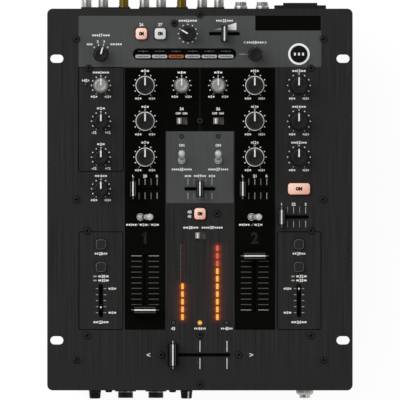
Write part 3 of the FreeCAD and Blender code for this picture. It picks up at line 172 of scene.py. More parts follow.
def outline(width, depth, corner, inset=0.0):
    """Rounded rectangle, anticlockwise: quarter circles about four corner centres. Each inset gives one ring,
    whose quarter circles are that much smaller."""
    turn = (np.arange(4)[:, None] * np.pi / 2 + np.linspace(0, np.pi / 2, CORNER_STEPS + 1)).ravel()
    signs = np.repeat([[1, 1], [-1, 1], [-1, -1], [1, -1]], CORNER_STEPS + 1, axis=0)
    centres = signs * (np.array([width, depth]) / 2 - corner)
    radius = corner - np.atleast_1d(inset)[:, None, None]
    return centres + radius * np.stack([np.cos(turn), np.sin(turn)], axis=-1)


def block(width, depth, corner, low, high, edge, crown=0.0, shelf=0.0):
    """Upright block on a rounded rectangle: its top edge follows a quarter circle inwards and up, and its top
    rises by crown to the middle. A shelf adds a ring on the top, that far inside the sides."""
    turn = np.linspace(0, np.pi / 2, EDGE_STEPS + 1)
    inset = np.concatenate([[0.0], edge * (1 - np.cos(turn)), [shelf] * bool(shelf)])
    level = np.concatenate([[low], high - edge + edge * np.sin(turn), [high] * bool(shelf)])
    rings = outline(width, depth, corner, inset)
    levels = np.broadcast_to(level[:, None, None], rings.shape[:2] + (1,))
    return woven(closed(np.concatenate([rings, levels], axis=-1), crown))


def turned(profile, sides=SIDES, flutes=0, bite=0.0):
    """Profile of (radius, height) points carried round the Z axis. With flutes, each radius loses its bite
    times the square of a raised cosine that peaks that many times in a turn."""
    radius, height = np.array(profile, float).T
    turn = np.linspace(0, 2 * np.pi, sides, endpoint=False)
    groove = ((1 + np.cos(flutes * turn)) / 2) ** 2
    reach = radius[:, None] - np.broadcast_to(bite, radius.shape)[:, None] * groove
    level = np.broadcast_to(height[:, None], reach.shape)
    return woven(np.stack([reach * np.cos(turn), reach * np.sin(turn), level], axis=-1))


def hoop(section, edge=0.2, sides=SIDES, flutes=0, bite=0.0):
    """Closed section of (radius, height) points with softened corners, carried round the Z axis. Flutes cut
    only the outer half of the section."""
    line = softened(section, edge, ring=True)
    line = np.concatenate([line, line[:1]])
    outer = line[:, 0] > (line[:, 0].min() + line[:, 0].max()) / 2
    return turned(line, sides, flutes, bite * outer)


def tube(inner, outer, low, high, edge=0.2, sides=SIDES):
    """Hoop of a square section."""
    return hoop([(inner, low), (outer, low), (outer, high), (inner, high)], edge, sides)


def drawn(section, length, bevel):
    """Closed (x, z) section carried along Y; over the last bevel at both ends it shrinks to its middle along
    a quarter circle."""
    section = np.asarray(section, float)
    turn = np.linspace(0, np.pi / 2, EDGE_STEPS + 1)
    run = length / 2 - bevel + bevel * np.sin(turn)
    inset = bevel * (1 - np.cos(turn))
    station = np.concatenate([-run[::-1], run])
    shrink = np.concatenate([inset[::-1], inset])
    middle = (section.min(axis=0) + section.max(axis=0)) / 2
    share = 1 - shrink[:, None, None] / np.ptp(section, axis=0) * 2
    rings = middle + (section - middle) * share
    along = np.broadcast_to(station[:, None], rings.shape[:2])
    return woven(closed(np.stack([rings[..., 0], along, rings[..., 1]], axis=-1)))


def raised_line(path, width, proud, sunk):
    """Bar of a square section that follows (y, z) points over a surface, its outer face proud of them and its
    inner one sunk below."""
    along = np.gradient(path, axis=0)
    along /= np.linalg.norm(along, axis=1, keepdims=True)
    out = np.stack([-along[:, 1], along[:, 0]], axis=-1)
    outer = path + proud * out
    inner = path - sunk * out
    half = np.full(len(path), width / 2)
    corners = [(-half, outer), (half, outer), (half, inner), (-half, inner)]
    return woven(closed(np.stack([np.column_stack([x, line]) for x, line in corners], axis=1)))


def moved(shape, x=0.0, y=0.0, z=PLATE_TOP):
    """A shape carried to a place, by default on the plate's top."""
    return Shape(shape.points + np.array([x, y, z]), shape.faces)


def rotation(degrees, axis):
    """Matrix of a turn about an axis."""
    return np.array(Matrix.Rotation(math.radians(degrees), 3, axis))


def spun(shape, degrees):
    """A shape turned clockwise about the Z axis, as seen from above."""
    return Shape(shape.points @ rotation(-degrees, "Z").T, shape.faces)


def on_wall(shape, x, z, side):
    """A shape that stood on the plane z = 0, set on the front wall (side -1) or the rear wall (side 1)."""
    turn = np.array([[-side, 0, 0], [0, 0, side], [0, 1, 0]])
    return Shape(shape.points @ turn.T + np.array([x, side * WALL_FACE, z]), shape.faces)


# Flat marks

def stroke(x0, y0, x1, y1, width):
    """Flat bar from one point to another."""
    way = np.array([x1 - x0, y1 - y0])
    aside = np.array([-way[1], way[0]]) / np.hypot(*way) * width / 2
    ends = np.array([[x0, y0], [x1, y1]])
    points = np.concatenate([ends - aside, (ends + aside)[::-1]])
    return Shape(np.column_stack([points, np.zeros(4)]), np.array([[0, 1, 2, 3]]))


def dot(x, y, diameter, sides=12):
    """Flat round mark."""
    turn = np.linspace(0, 2 * np.pi, sides, endpoint=False)
    points = np.column_stack([np.cos(turn), np.sin(turn), np.zeros(sides)]) * diameter / 2
    return Shape(points + np.array([x, y, 0.0]), np.arange(sides)[None])


def filled(data):
    """Triangles of a flat curve or text, all facing up."""
    holder = bpy.data.objects.new(data.name, data)
    mesh = bpy.data.meshes.new_from_object(holder)
    points = places_in(mesh).astype(float)
    mesh.calc_loop_triangles()
    corners = np.empty(len(mesh.loop_triangles) * 3, np.int32)
    mesh.loop_triangles.foreach_get("vertices", corners)
    faces = corners.reshape(-1, 3)
    first = points[faces[:, 1]] - points[faces[:, 0]]
    second = points[faces[:, 2]] - points[faces[:, 0]]
    down = first[:, 0] * second[:, 1] < first[:, 1] * second[:, 0]
    faces[down] = faces[down][:, ::-1]
    bpy.data.objects.remove(holder)
    bpy.data.meshes.remove(mesh)
    return Shape(points, faces)


CAPITAL = 0.69  # height of a capital over the type's size
BOLDNESS = 0.06  # how much strokes swell on each side, over the capital's height
DASH_PITCH = 1.7  # of the bars beside a number
DASH_GAP = 0.45


@lru_cache(maxsize=None)
def figures(text, height, width=0.0, boldness=BOLDNESS):
    """Plain bold figures, centred, with capitals of that height, brought to a width if there is one."""
    data = bpy.data.curves.new("figures", "FONT")
    data.body = text
    data.size = height / CAPITAL
    data.offset = height * boldness
    data.resolution_u = 2
    shape = filled(data)
    middle = (shape.points.min(axis=0) + shape.points.max(axis=0)) / 2
    narrow = width / np.ptp(shape.points[:, 0]) if width else 1.0
    return Shape((shape.points - middle) * (narrow, 1.0, 1.0), shape.faces)


def area(rings):
    """Flat area inside the first ring and outside the others."""
    data = bpy.data.curves.new("area", "CURVE")
    data.dimensions = "2D"
    data.fill_mode = "BOTH"
    for ring in rings:
        spline = data.splines.new("POLY")
        spline.points.add(len(ring) - 1)
        flat = np.column_stack([ring, np.zeros(len(ring)), np.ones(len(ring))])
        spline.points.foreach_set("co", flat.astype(np.float32).ravel())
        spline.use_cyclic_u = True
    return filled(data)


def captioned(text, width, height, bar):
    """A number with a row of short bars on each side of it that together fill a width."""
    number = figures(text, height)
    half = np.ptp(number.points[:, 0]) / 2 + DASH_GAP
    shapes = [number]
    room = width / 2 - half
    dashes = max(1, round(room / DASH_PITCH)) if room > bar / 2 else 0
    for dash in range(dashes):
        start = half + dash * (room + DASH_GAP) / dashes
        end = start + (room + DASH_GAP) / dashes - DASH_GAP
        shapes += [stroke(sign * start, 0.0, sign * end, 0.0, bar) for sign in (-1, 1)]
    return shapes


# Materials

def linear(code):
    """Linear red, green, blue and alpha of an sRGB hex colour."""
    srgb = np.array([int(code[i:i + 2], 16) for i in (1, 3, 5)]) / 255
    return (*np.where(srgb <= 0.04045, srgb / 12.92, ((srgb + 0.055) / 1.055) ** 2.4), 1.0)


def add(tree, kind, inputs, **settings):
    """Adds a node with its settings; an input that is a socket is linked, any other is set."""
    node = tree.nodes.new(kind)
    for name, value in settings.items():
        setattr(node, name, value)
    for key, value in inputs.items():
        if isinstance(value, bpy.types.NodeSocket):
            tree.links.new(value, node.inputs[key])
        else:
            node.inputs[key].default_value = value
    return node


GRAIN_DETAIL = 3.0
GRAIN_LOW = 0.3  # almost all of the noise lies between these
GRAIN_HIGH = 0.7


def finish(name, dark, light, grain, rough, relief=0.0, stretch=(1.0, 1.0, 1.0), **sockets):
    """Surface whose colour, roughness and relief follow one uneven grain of that size, drawn out along an
    axis where stretch is small. Other shader sockets are set by name, with _ for a space."""
    material = bpy.data.materials.new(name)
    material.use_nodes = True
    tree = material.node_tree
    shader = tree.nodes["Principled BSDF"]
    place = add(tree, "ShaderNodeTexCoord", {})
    spread = add(tree, "ShaderNodeMapping", {"Vector": place.outputs["Object"], "Scale": stretch})
    scale = 1 / (grain * MM)
    grains = {"Vector": spread.outputs[0], "Scale": scale, "Detail": GRAIN_DETAIL}
    noise = add(tree, "ShaderNodeTexNoise", grains)
    levels = {"Value": noise.outputs[0], "From Min": GRAIN_LOW, "From Max": GRAIN_HIGH}
    share = add(tree, "ShaderNodeMapRange", levels)
    colours = {0: share.outputs[0], 6: linear(dark), 7: linear(light)}
    tone = add(tree, "ShaderNodeMix", colours, data_type="RGBA")
    limits = {"Value": share.outputs[0], "To Min": rough[0], "To Max": rough[1]}
    gloss = add(tree, "ShaderNodeMapRange", limits)
    tree.links.new(tone.outputs[2], shader.inputs["Base Color"])
    tree.links.new(gloss.outputs[0], shader.inputs["Roughness"])
    if relief:
        bump = add(tree, "ShaderNodeBump", {"Height": noise.outputs[0], "Distance": relief * MM})
        tree.links.new(bump.outputs[0], shader.inputs["Normal"])
    for socket, value in sockets.items():
        shader.inputs[socket.replace("_", " ")].default_value = value
    return material


def glowing(colour, strength):
    """Shader sockets of a moulded lens with a lamp behind it."""
    return {"Emission_Color": linear(colour), "Emission_Strength": strength, "Specular_IOR_Level": 0.3}


def kinds(stem, look, tones):
    """Finishes of one look, by name, each from a dark and a light colour, and from its lamp's colour and
    strength if it is lit."""
    made = {}
    for name, (dark, light, *lamp) in tones.items():
        made[name] = finish(stem + name, dark, light, **look, **(glowing(*lamp) if lamp else {}))
    return SimpleNamespace(**made)


def edged(material, edge, glow=0.0):
    """Runs a cap's colour from the edge's colour at its sides to its own further in, as its attribute core
    goes from 0 to 1, and its glow with it."""
    tree = material.node_tree
    shader = tree.nodes["Principled BSDF"]
    core = add(tree, "ShaderNodeAttribute", {}, attribute_name="core").outputs["Fac"]
    own = shader.inputs["Base Color"].links[0].from_socket
    blend = add(tree, "ShaderNodeMix", {0: core, 6: linear(edge), 7: own}, data_type="RGBA")
    tree.links.new(blend.outputs[2], shader.inputs["Base Color"])
    if glow:
        light = add(tree, "ShaderNodeMapRange", {"Value": core, "To Max": glow})
        tree.links.new(light.outputs[0], shader.inputs["Emission Strength"])
    return material


def banded(name, axis, stops, interpolation, rough):
    """Surface whose colour and share of metal follow (place, colour, metal) stops along one axis."""
    material = finish(name, stops[0][1], stops[-1][1], 1.0, rough)
    tree = material.node_tree
    shader = tree.nodes["Principled BSDF"]
    place = add(tree, "ShaderNodeTexCoord", {})
    parts = add(tree, "ShaderNodeSeparateXYZ", {0: place.outputs["Object"]})
    first = stops[0][0]
    span = stops[-1][0] - first
    limits = {"Value": parts.outputs[axis], "From Min": first * MM, "From Max": (first + span) * MM}
    share = add(tree, "ShaderNodeMapRange", limits)
    ramp = add(tree, "ShaderNodeValToRGB", {"Fac": share.outputs[0]})
    ramp.color_ramp.interpolation = interpolation
    elements = ramp.color_ramp.elements
    elements.remove(elements[1])
    for number, (level, colour, metal) in enumerate(stops):
        position = (level - first) / span
        stop = elements.new(position) if number else elements[0]
        stop.position = position
        stop.color = (*linear(colour)[:3], metal)
    tree.links.new(ramp.outputs["Color"], shader.inputs["Base Color"])
    if any(metal for _, _, metal in stops):
        tree.links.new(ramp.outputs["Alpha"], shader.inputs["Metallic"])
    return material


# Black anodised aluminium, brushed from front to rear: fine hairlines in a dark satin grey. Real hairlines
# are some hundredths of a millimetre wide; they are drawn as coarse as a render needs to show them.
HAIRLINE = {"grain": 0.9, "stretch": (1.0, 0.012, 1.0), "rough": (0.42, 0.55)}
PLATE_TONES = {"dark": "#1e1e1e", "light": "#2f2e2d"}
PLATE_LOOK = dict(HAIRLINE, **PLATE_TONES, relief=0.01, Metallic=0.35, Specular_IOR_Level=0.3)
brushed = finish("anodised_aluminium_brushed", **PLATE_LOOK)
# Powder coat on folded steel: a fine even pebble, dull black.
powder_coat = finish("powder_coated_steel", "#161616", "#222222", 0.9, (0.5, 0.65), relief=0.06)
# Screen printing inks: flat and dull, a touch uneven. Grey ink is thin, so the hairlines below show in it.
INK = {"grain": 1.5, "rough": (0.5, 0.6), "Specular_IOR_Level": 0.02}
INK_TONES = {
    "black": ("#070706", "#0b0b09"),
    "white": ("#e6e6e4", "#f6f6f4"),
    "pale_grey": ("#a4a4a2", "#b4b4b2"),
    "mid_grey": ("#7e7e7c", "#8c8c8a"),
    "dim_grey": ("#5a5a58", "#686866"),
    "faint_grey": ("#222220", "#2a2a28"),
    "line_black": ("#0e0e0e", "#151515"),
    "brown": ("#4a2018", "#582a20"),
}
ink = kinds("screen_ink_", INK, INK_TONES)
grey_ink = finish("screen_ink_grey", "#4e504f", "#555756", **dict(HAIRLINE, Specular_IOR_Level=0.02))
# Moulded ABS: fine spark texture, dull black, with lighter grey strips and rings at edges that are painted
# highlights, and a silver lacquer on some.
ABS = {"grain": 0.6, "rough": (0.42, 0.56), "relief": 0.02, "Specular_IOR_Level": 0.3}
black_abs = finish("abs_moulded_black", "#0a0a0a", "#111111", **dict(ABS, Specular_IOR_Level=0.24))
# Lighter grey of the rings near knob crowns' edges: a painted highlight.
rim_highlight_abs = finish("abs_worn_edge", "#343432", "#424240", **ABS)
cap_abs = finish("abs_cap_black", "#070707", "#0d0d0d", **dict(ABS, Specular_IOR_Level=0.12))
# Lighter grey strips on fader caps' crest edges and on the lips of lamp bezels: painted highlights.
edge_highlight_abs = finish("abs_rubbed_edge", "#4c4c4a", "#5a5a58", **ABS)
grey_abs = finish("abs_moulded_grey", "#7a7472", "#8a8482", **ABS)
# Black key caps: the light grey edge colour is a painted highlight on their top edges.
key_abs = edged(finish("abs_key_black", "#191919", "#202020", **ABS), "#7c7c7a")
silver_lacquer = finish("abs_silver_lacquer", "#969696", "#b0b0ae", 0.5, (0.32, 0.45), 0.01, Metallic=0.55)
white_abs = finish("abs_inlay_white", "#e8e8e6", "#f6f6f4", 1.0, (0.4, 0.5))
nub_abs = finish("abs_inlay_grey", "#7c7c7a", "#90908e", 1.0, (0.4, 0.5))
# Polycarbonate caps over lamps: milky, palest in the middle where the lamp is, tinted at the edges; the unlit
# milky cap's dark edges are painted shade.
LENS = {"grain": 3.0, "rough": (0.3, 0.4)}
CAP_GLOW = 0.25
CAP_TONES = {
    "peach": ("#fadccb", "#ffe6d8", "#fff0e0", CAP_GLOW),
    "coral": ("#f8d2c0", "#fedccc", "#fff0d8", CAP_GLOW),
    "rose": ("#f8d4c4", "#fedece", "#ffecdc", CAP_GLOW),
}
lit_cap = kinds("polycarbonate_lit_", LENS, CAP_TONES)
peach_lens = edged(lit_cap.peach, "#da7e5c", CAP_GLOW)
coral_lens = edged(lit_cap.coral, "#d86e58", CAP_GLOW)
rose_lens = edged(lit_cap.rose, "#d4745a", CAP_GLOW)
# The milky cap's dark grey edge colour is painted shade.
milky_lens = edged(finish("polycarbonate_milky", "#f4f3f2", "#fcfbfa", **LENS), "#6a6968")
# Tinted lenses of the small lamps, and frosted ones of the display and the ring, dark where they are off.
LAMP = {"grain": 1.5, "rough": (0.25, 0.35)}
LAMP_TONES = {
    "lit_amber": ("#e4a444", "#f2b656", "#ffb848", 0.4),
    "lit_amber_edge": ("#a45a14", "#b8681c", "#ff8420", 0.16),
    "lit_yellow": ("#e6ae48", "#f2be58", "#ffc45c", 0.3),
    "lit_yellow_edge": ("#b4842a", "#c69436", "#ffb030", 0.06),
    "lit_red": ("#cc5442", "#dc6450", "#ff6a4c", 0.25),
    "lit_red_edge": ("#842418", "#983022", "#ff4024", 0.1),
    # Lighter greys at the edges of the unlit meter window: painted highlights, brighter on the left.
    "unlit_smoke": ("#241614", "#2e1c19"),
    "unlit_edge": ("#584a46", "#6a5a55"),
    "unlit_far_edge": ("#3a2422", "#482d2a"),
    "unlit_grey": ("#2c2a29", "#3a3836"),
}
FROST_TONES = {
    "unlit_frost": ("#acadad", "#c2c3c3"),
    "lit_orange": ("#8a4e30", "#9e5c3a", "#ff8838", 0.06),
    "lit_white": ("#f0f0ee", "#fafaf8", "#ffffff", 0.15),
}
tinted = kinds("lens_", LAMP, LAMP_TONES)
frosted = kinds("lens_", LENS, FROST_TONES)
# Metals: plated brass and steel, turned or pressed, with faint wear.
PLATED = {"grain": 0.8, "rough": (0.24, 0.36), "Metallic": 0.9}
satin_chrome = finish("satin_chrome_plated_brass", "#c0c2c0", "#d2d4d2", 0.8, (0.38, 0.5), Metallic=0.3)
# Brown-grey of the toggles' necks: painted shade and painted reflection.
neck_shade = finish("dark_oxide_steel", "#4a3e3a", "#5a4c46", 0.8, (0.35, 0.5), Metallic=0.3)
nickel = finish("nickel_plated_brass", "#a6a6a2", "#bebeba", **PLATED)
gold = finish("gold_plated_brass", "#6e5c20", "#8e782c", **PLATED)
zinc = finish("zinc_plated_steel", "#848482", "#9c9c9a", 3.0, (0.3, 0.5), Metallic=0.9)
blackened = finish("blackened_steel", "#050505", "#0b0b0b", 0.8, (0.3, 0.45), Specular_IOR_Level=0.15)
recess_ring_steel = finish("blackened_steel_worn", "#343432", "#464644", 0.8, (0.3, 0.45))
# Glass-filled nylon of sockets and sliders' tracks, moulded smooth and dull.
NYLON = {"grain": 0.7, "rough": (0.42, 0.58), "Specular_IOR_Level": 0.3}
nylon = finish("nylon_moulded_black", "#101010", "#191919", relief=0.02, **NYLON)
track_nylon = finish("nylon_track_black", "#050505", "#0a0a0a", **NYLON)
phenolic = finish("phenolic_moulded_brown", "#4a4240", "#584e4b", **NYLON)
white_nylon = finish("nylon_moulded_white", "#c6c6c2", "#d6d6d2", **NYLON)
red_nylon = finish("nylon_moulded_red", "#94221c", "#a83028", **NYLON)
# Rubber of the feet, moulded and matt, and inside the case a glossy laminate and a ribbed, lacquered core.
rubber = finish("rubber_moulded", "#0f0f0f", "#1a1a1a", 1.2, (0.7, 0.85), relief=0.05)
laminate = finish("epoxy_laminate_green", "#123c22", "#1c4e2e", 6.0, (0.35, 0.5))
CORE_LOOK = {"grain": 2.0, "rough": (0.45, 0.6), "relief": 0.05, "stretch": (1, 1, 4)}
wound_core = finish("lacquered_core_steel", "#3a3632", "#4c4844", **CORE_LOOK)
# Switch bodies, by level: black nylon low on the rear wall, brown-grey phenolic in the plate's windows,
# painted lighter than the phenolic itself as painted light against the deep shade there, and satin plated
# bushings above the plate.
SWITCH_LEVELS = (
    (PLATE_TOP - 60.0, "#121212", 0.0),
    # Lighter than the phenolic itself: painted light against the shade in the windows.
    (PLATE_TOP - 15.0, "#7c706c", 0.0),
    (PLATE_TOP - 0.2, "#d2d4d2", 0.3),
    (PLATE_TOP + 5.0, "#d2d4d2", 0.3),
)
switch_mix = banded("nylon_phenolic_and_chrome", "Z", SWITCH_LEVELS, "CONSTANT", (0.4, 0.5))
# Ink of the wedge: a screen of dots that closes up towards its wide end, seen as grey that runs to white.
WEDGE_LEFT = 10.7
WEDGE_RIGHT = 30.3
WEDGE_TONES = ((WEDGE_LEFT, "#5c5e5d", 0.0), (WEDGE_RIGHT, "#f6f6f4", 0.0))
wedge_ink = banded("screen_ink_graded", "X", WEDGE_TONES, "LINEAR", (0.5, 0.6))


# Pieces

def build(name, parts, body=CASE, replaces=()):
    """One object from (shape, material) pairs: points at one place merge, which closes poles and seams, and
    edges stay crisp where faces turn sharply."""
    shapes = [shape for shape, _ in parts]
    finishes = list(dict.fromkeys(material for _, material in parts))
    starts = np.cumsum([0] + [len(shape.points) for shape in shapes])
    points = np.concatenate([shape.points for shape in shapes]) * MM
    faces = [face for shape, start in zip(shapes, starts) for face in (shape.faces + start).tolist()]
    counts = [len(shape.faces) for shape in shapes]
    marks = np.repeat([finishes.index(material) for _, material in parts], counts)
    mesh = bpy.data.meshes.new(name)
    mesh.from_pydata(points.tolist(), [], faces)
    for material in finishes:
        mesh.materials.append(material)
    mesh.polygons.foreach_set("material_index", marks.astype(np.int32))
    joined = bmesh.new()
    joined.from_mesh(mesh)
    bmesh.ops.remove_doubles(joined, verts=joined.verts, dist=MERGE * MM)
    joined.to_mesh(mesh)
    joined.free()
    mesh.shade_smooth()
    mesh.set_sharp_from_angle(angle=math.radians(SHARP_ANGLE))
    piece = bpy.data.objects.new(name, mesh)
    bpy.context.scene.collection.objects.link(piece)
    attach(piece, body)
    if replaces:
        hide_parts(*replaces)
    return piece


def stand_in(node, ending, parts, slot, turn=0.0, place=None):
    """The piece that stands for a moving node: each of its shapes is turned clockwise and carried to the
    node's middle on the plate, or to where place puts it."""
    middle = place_of(node)
    put = place or (lambda shape: moved(shape, *middle))
    carried = [(put(spun(shape, turn)), material) for shape, material in parts]
    return build(node + ending, carried, node, (node,))


def paint(piece, name, values):
    """Gives a piece's points an attribute."""
    layer = piece.data.attributes.new(name, "FLOAT", "POINT")
    layer.data.foreach_set("value", values.astype(np.float32))


# Knobs: a skirt, a fluted grip that tapers to a dished crown with a lighter ring near its edge that is a painted
# highlight, and a white pointer from the crown's middle down to the skirt
KnobLook = namedtuple("KnobLook", "rise grip crown")  # the skirt's rise, and diameters above it
SMALL_LOOK = KnobLook(2.0, 11.8, 10.6)
TONE_LOOK = KnobLook(2.4, 13.4, 12.2)
ENCODER_LOOK = KnobLook(1.2, 11.4, 10.6)
FRONT_LOOK = KnobLook(1.0, 9.8, 9.0)
NUBS = {SMALL_LOOK: (90, 180, 270), TONE_LOOK: (), ENCODER_LOOK: (-90, 0, 90)}  # angles of grip marks
TONE_SKIRT = 14.0  # a wider skirt is a tone knob's
KNOB_GAP = 0.8
KNOB_EDGE = 0.7
KNOB_SOFT = 0.35  # rounding along a knob's profile
FLUTES = 18
FLUTE_DEPTH = 0.45
FLUTE_SIDES = 6 * FLUTES
FLUTE_START = 0.3  # above the skirt
FLUTE_RUN_IN = 0.9
FLUTE_RUN_OUT = 0.8
POINTER_WIDTH = 1.2
POINTER_PROUD = 0.08
POINTER_SUNK = 0.5
RING_WIDTH = 1.1
RING_PROUD = 0.12
RIM_INSET = 0.25
RIM_HALF = 0.15
NUB = (1.1, 1.0, 0.3)  # width, depth and corner radius of a grip mark
NUB_SUNK = 0.35
SILVER_KNOBS = ("ch1_gain_knob", "ch2_gain_knob", "mic_gain_knob")
FRONT_KNOBS = [node for node in moving("_knob") if node.startswith("front_")]
PLATE_KNOBS = [node for node in moving("_knob") if node not in FRONT_KNOBS]


def knob_parts(look, skirt, height, material, pointer=True, ring=False, nubs=()):
    """A knob that stands on z = 0 with its pointer towards +Y."""
    rise = KNOB_GAP + look.rise
    grip = look.grip / 2
    crown = look.crown / 2
    side = [
        (skirt / 2, KNOB_GAP),
        (skirt / 2, rise - 0.6),
        (grip + 0.2, rise),
        (grip, rise + 0.6),
        (grip - 0.1, rise + 1.4),
        (crown + 0.1, height - 1.6),
        (crown, height - KNOB_EDGE),
        (crown - KNOB_EDGE, height - 0.05),
        (crown - 1.6, height),
        (crown - 2.4, height - 0.25),
        (0.0, height - 0.35),
    ]
    line = softened([(0.0, KNOB_GAP)] + side, KNOB_SOFT)
    fade_in = np.clip((line[:, 1] - rise - FLUTE_START) / FLUTE_RUN_IN, 0, 1)
    fade_out = np.clip((height - KNOB_EDGE - line[:, 1]) / FLUTE_RUN_OUT, 0, 1)
    parts = [(turned(line, FLUTE_SIDES, FLUTES, FLUTE_DEPTH * (fade_in * fade_out)), material)]
    if pointer:
        path = softened(side[:1:-1], KNOB_SOFT)[1:]
        step = np.linalg.norm(np.diff(path, axis=0), axis=1)
        path = path[np.concatenate([[True], step > MERGE])]
        parts.append((raised_line(path, POINTER_WIDTH, POINTER_PROUD, POINTER_SUNK), white_abs))
    # A lighter ring near the crown's edge, a painted highlight.
    if material is black_abs:
        rim = crown - RIM_INSET
        parts.append((tube(rim - RIM_HALF, rim + RIM_HALF, height - 0.8, height - 0.38, 0.1), rim_highlight_abs))
    if ring:
        outer = skirt / 2 + RING_PROUD
        parts.append((tube(outer - RING_WIDTH, outer, rise - 0.95, rise - 0.24, 0.1), white_abs))
    nub = moved(block(*NUB, KNOB_GAP + 0.2, rise - 0.45, 0.2), 0.0, skirt / 2 - NUB_SUNK, 0.0)
    parts += [(spun(nub, degrees), nub_abs if pointer else white_abs) for degrees in nubs]
    return parts


def pointer_angle(node):
    """Rest angle of a knob's pointer, clockwise from the middle of its travel."""
    joint = JOINTS[node]
    return 0.0 if joint.get("continuous") else -sum(joint["range_deg"]) / 2


def knob_look(node):
    """Look of a knob on the plate, from its skirt's diameter and whether it turns without end."""
    if JOINTS[node].get("continuous"):
        return ENCODER_LOOK
    return TONE_LOOK if node_box(node).size[0] > TONE_SKIRT else SMALL_LOOK


for node in PLATE_KNOBS:
    box = node_box(node)
    look = knob_look(node)
    silver = node in SILVER_KNOBS
    parts = knob_parts(
        look,
        box.size[0],
        box.top,
        silver_lacquer if silver else black_abs,
        pointer=look is not ENCODER_LOOK,
        ring=look is TONE_LOOK and node.startswith("ch"),
        nubs=NUBS[look],
    )
    stand_in(node, "_cap", parts, "silver_knob" if silver else "black_knob", pointer_angle(node))

for node in FRONT_KNOBS:
    box = node_box(node)
    x, _, z = box.middle
    parts = knob_parts(FRONT_LOOK, box.size[0], -WALL_FACE - box.low[1], black_abs)
    stand_in(node, "_cap", parts, "black_knob", pointer_angle(node), lambda shape: on_wall(shape, x, z, -1))

# Faders: a waisted cap with lighter strips along its crest edges that are painted highlights and a white line
# along its crest, on a lever; contour sliders are bare stems
CAP_GAP = 0.8
LEVER_LENGTH = 4.0
LEVER_WIDTH = 1.2
CapLook = namedtuple("CapLook", "crest line")  # widths
SMALL_CAP_LOOK = CapLook(4.6, 1.2)
LARGE_CAP_LOOK = CapLook(4.9, 1.25)
LARGE_CAP_LENGTH = 16.0  # a longer cap is a large one
CAP_SHOULDER = 3.0
CREST_DISH = 0.4
CREST_INSET = 0.3  # of the crest's highest line from its edge
CAP_SOFT = 0.4
CAP_BEVEL = 0.7
CREST_HIGHLIGHT_WIDTH = 0.4
LINE_SHORT = 0.75  # how far a crest's line ends before the cap does
FADERS = moving("fader")
CONTOURS = moving("contour_slider")
STEM_DOT = 1.5 / 2
STEM_TIP = [(0, -0.3), (STEM_DOT, -0.3), (STEM_DOT, 0.25), (0, 0.3)]


def cap_parts(width, length, low, height):
    """A fader cap that slides along X, its length along Y, over the plane z = 0."""
    look = LARGE_CAP_LOOK if length > LARGE_CAP_LENGTH else SMALL_CAP_LOOK
    half = width / 2
    crest = look.crest / 2
    waist = (half + crest) / 2 - 0.4
    right = [
        (crest - 0.9, height - CREST_DISH),
        (crest - CREST_INSET, height),
        (crest, height - 0.2),
        (waist, (height + CAP_SHOULDER) / 2),
        (half - 0.3, CAP_SHOULDER + 0.4),
        (half, CAP_SHOULDER - 0.4),
        (half, CAP_GAP),
    ]
    left = [(-x, z) for x, z in reversed(right)]
    body = drawn(softened(right + left, CAP_SOFT, ring=True), length, CAP_BEVEL)
    line_top = height - CREST_DISH + 0.05
    line = block(look.line, length - 2 * LINE_SHORT, 0.2, line_top - 0.7, line_top, 0.1)
    lever = block(LEVER_LENGTH, LEVER_WIDTH, 0.3, low, CAP_GAP + 0.5, 0.1)
    parts = [(body, cap_abs), (line, white_abs), (lever, zinc)]
    for sign in (-1, 1):
        # Lighter strips along the crest's edges: painted highlights.
        edge = block(CREST_HIGHLIGHT_WIDTH, length - 2 * LINE_SHORT, 0.15, height - 0.5, height + 0.02, 0.12)
        parts.append((moved(edge, sign * (crest - CREST_INSET), 0.0, 0.0), edge_highlight_abs))
        end = block(look.line, 0.4, 0.15, CAP_GAP + 0.8, height - 0.9, 0.1)
        parts.append((moved(end, 0.0, sign * (length / 2 - 0.15), 0.0), white_abs))
    return parts


for node in FADERS:
    box = node_box(node)
    along_x = abs(JOINTS[node]["axis"][0]) > 0.5
    width, length = box.size[:2] if along_x else box.size[1::-1]
    parts = cap_parts(width, length, box.bottom, box.top)
    stand_in(node, "_slider_cap", parts, "fader_cap", 0 if along_x else 90)

for node in CONTOURS:
    box = node_box(node)
    stem = block(*box.size[:2], 0.6, box.bottom, box.top, 0.4, 0.1)
    tip = moved(turned(softened(STEM_TIP, 0.1), 16), z=box.top)
    stand_in(node, "_stem", [(stem, cap_abs), (tip, white_abs)], "fader_cap")

# Push buttons: rounded blocks whose colour changes towards the edges: lamp light fading on the lit caps, painted
# shade on the milky cap and a painted highlight on the black keys' top edges
BUTTON_RIM = 1.4  # hidden rim below the plate, past the face on each side
BUTTON_CORNER = 2.4
BUTTON_SINK = 3.5
BUTTON_EDGE = 0.6
GLYPH_PROUD = 0.03
GLYPH_HEIGHT = 2.4
GLYPH_BOLDNESS = 0.16
BUTTON_SHELF = 1.2  # inset of a ring on the face
EDGE_TINT = 0.55  # how far in the edge's colour runs
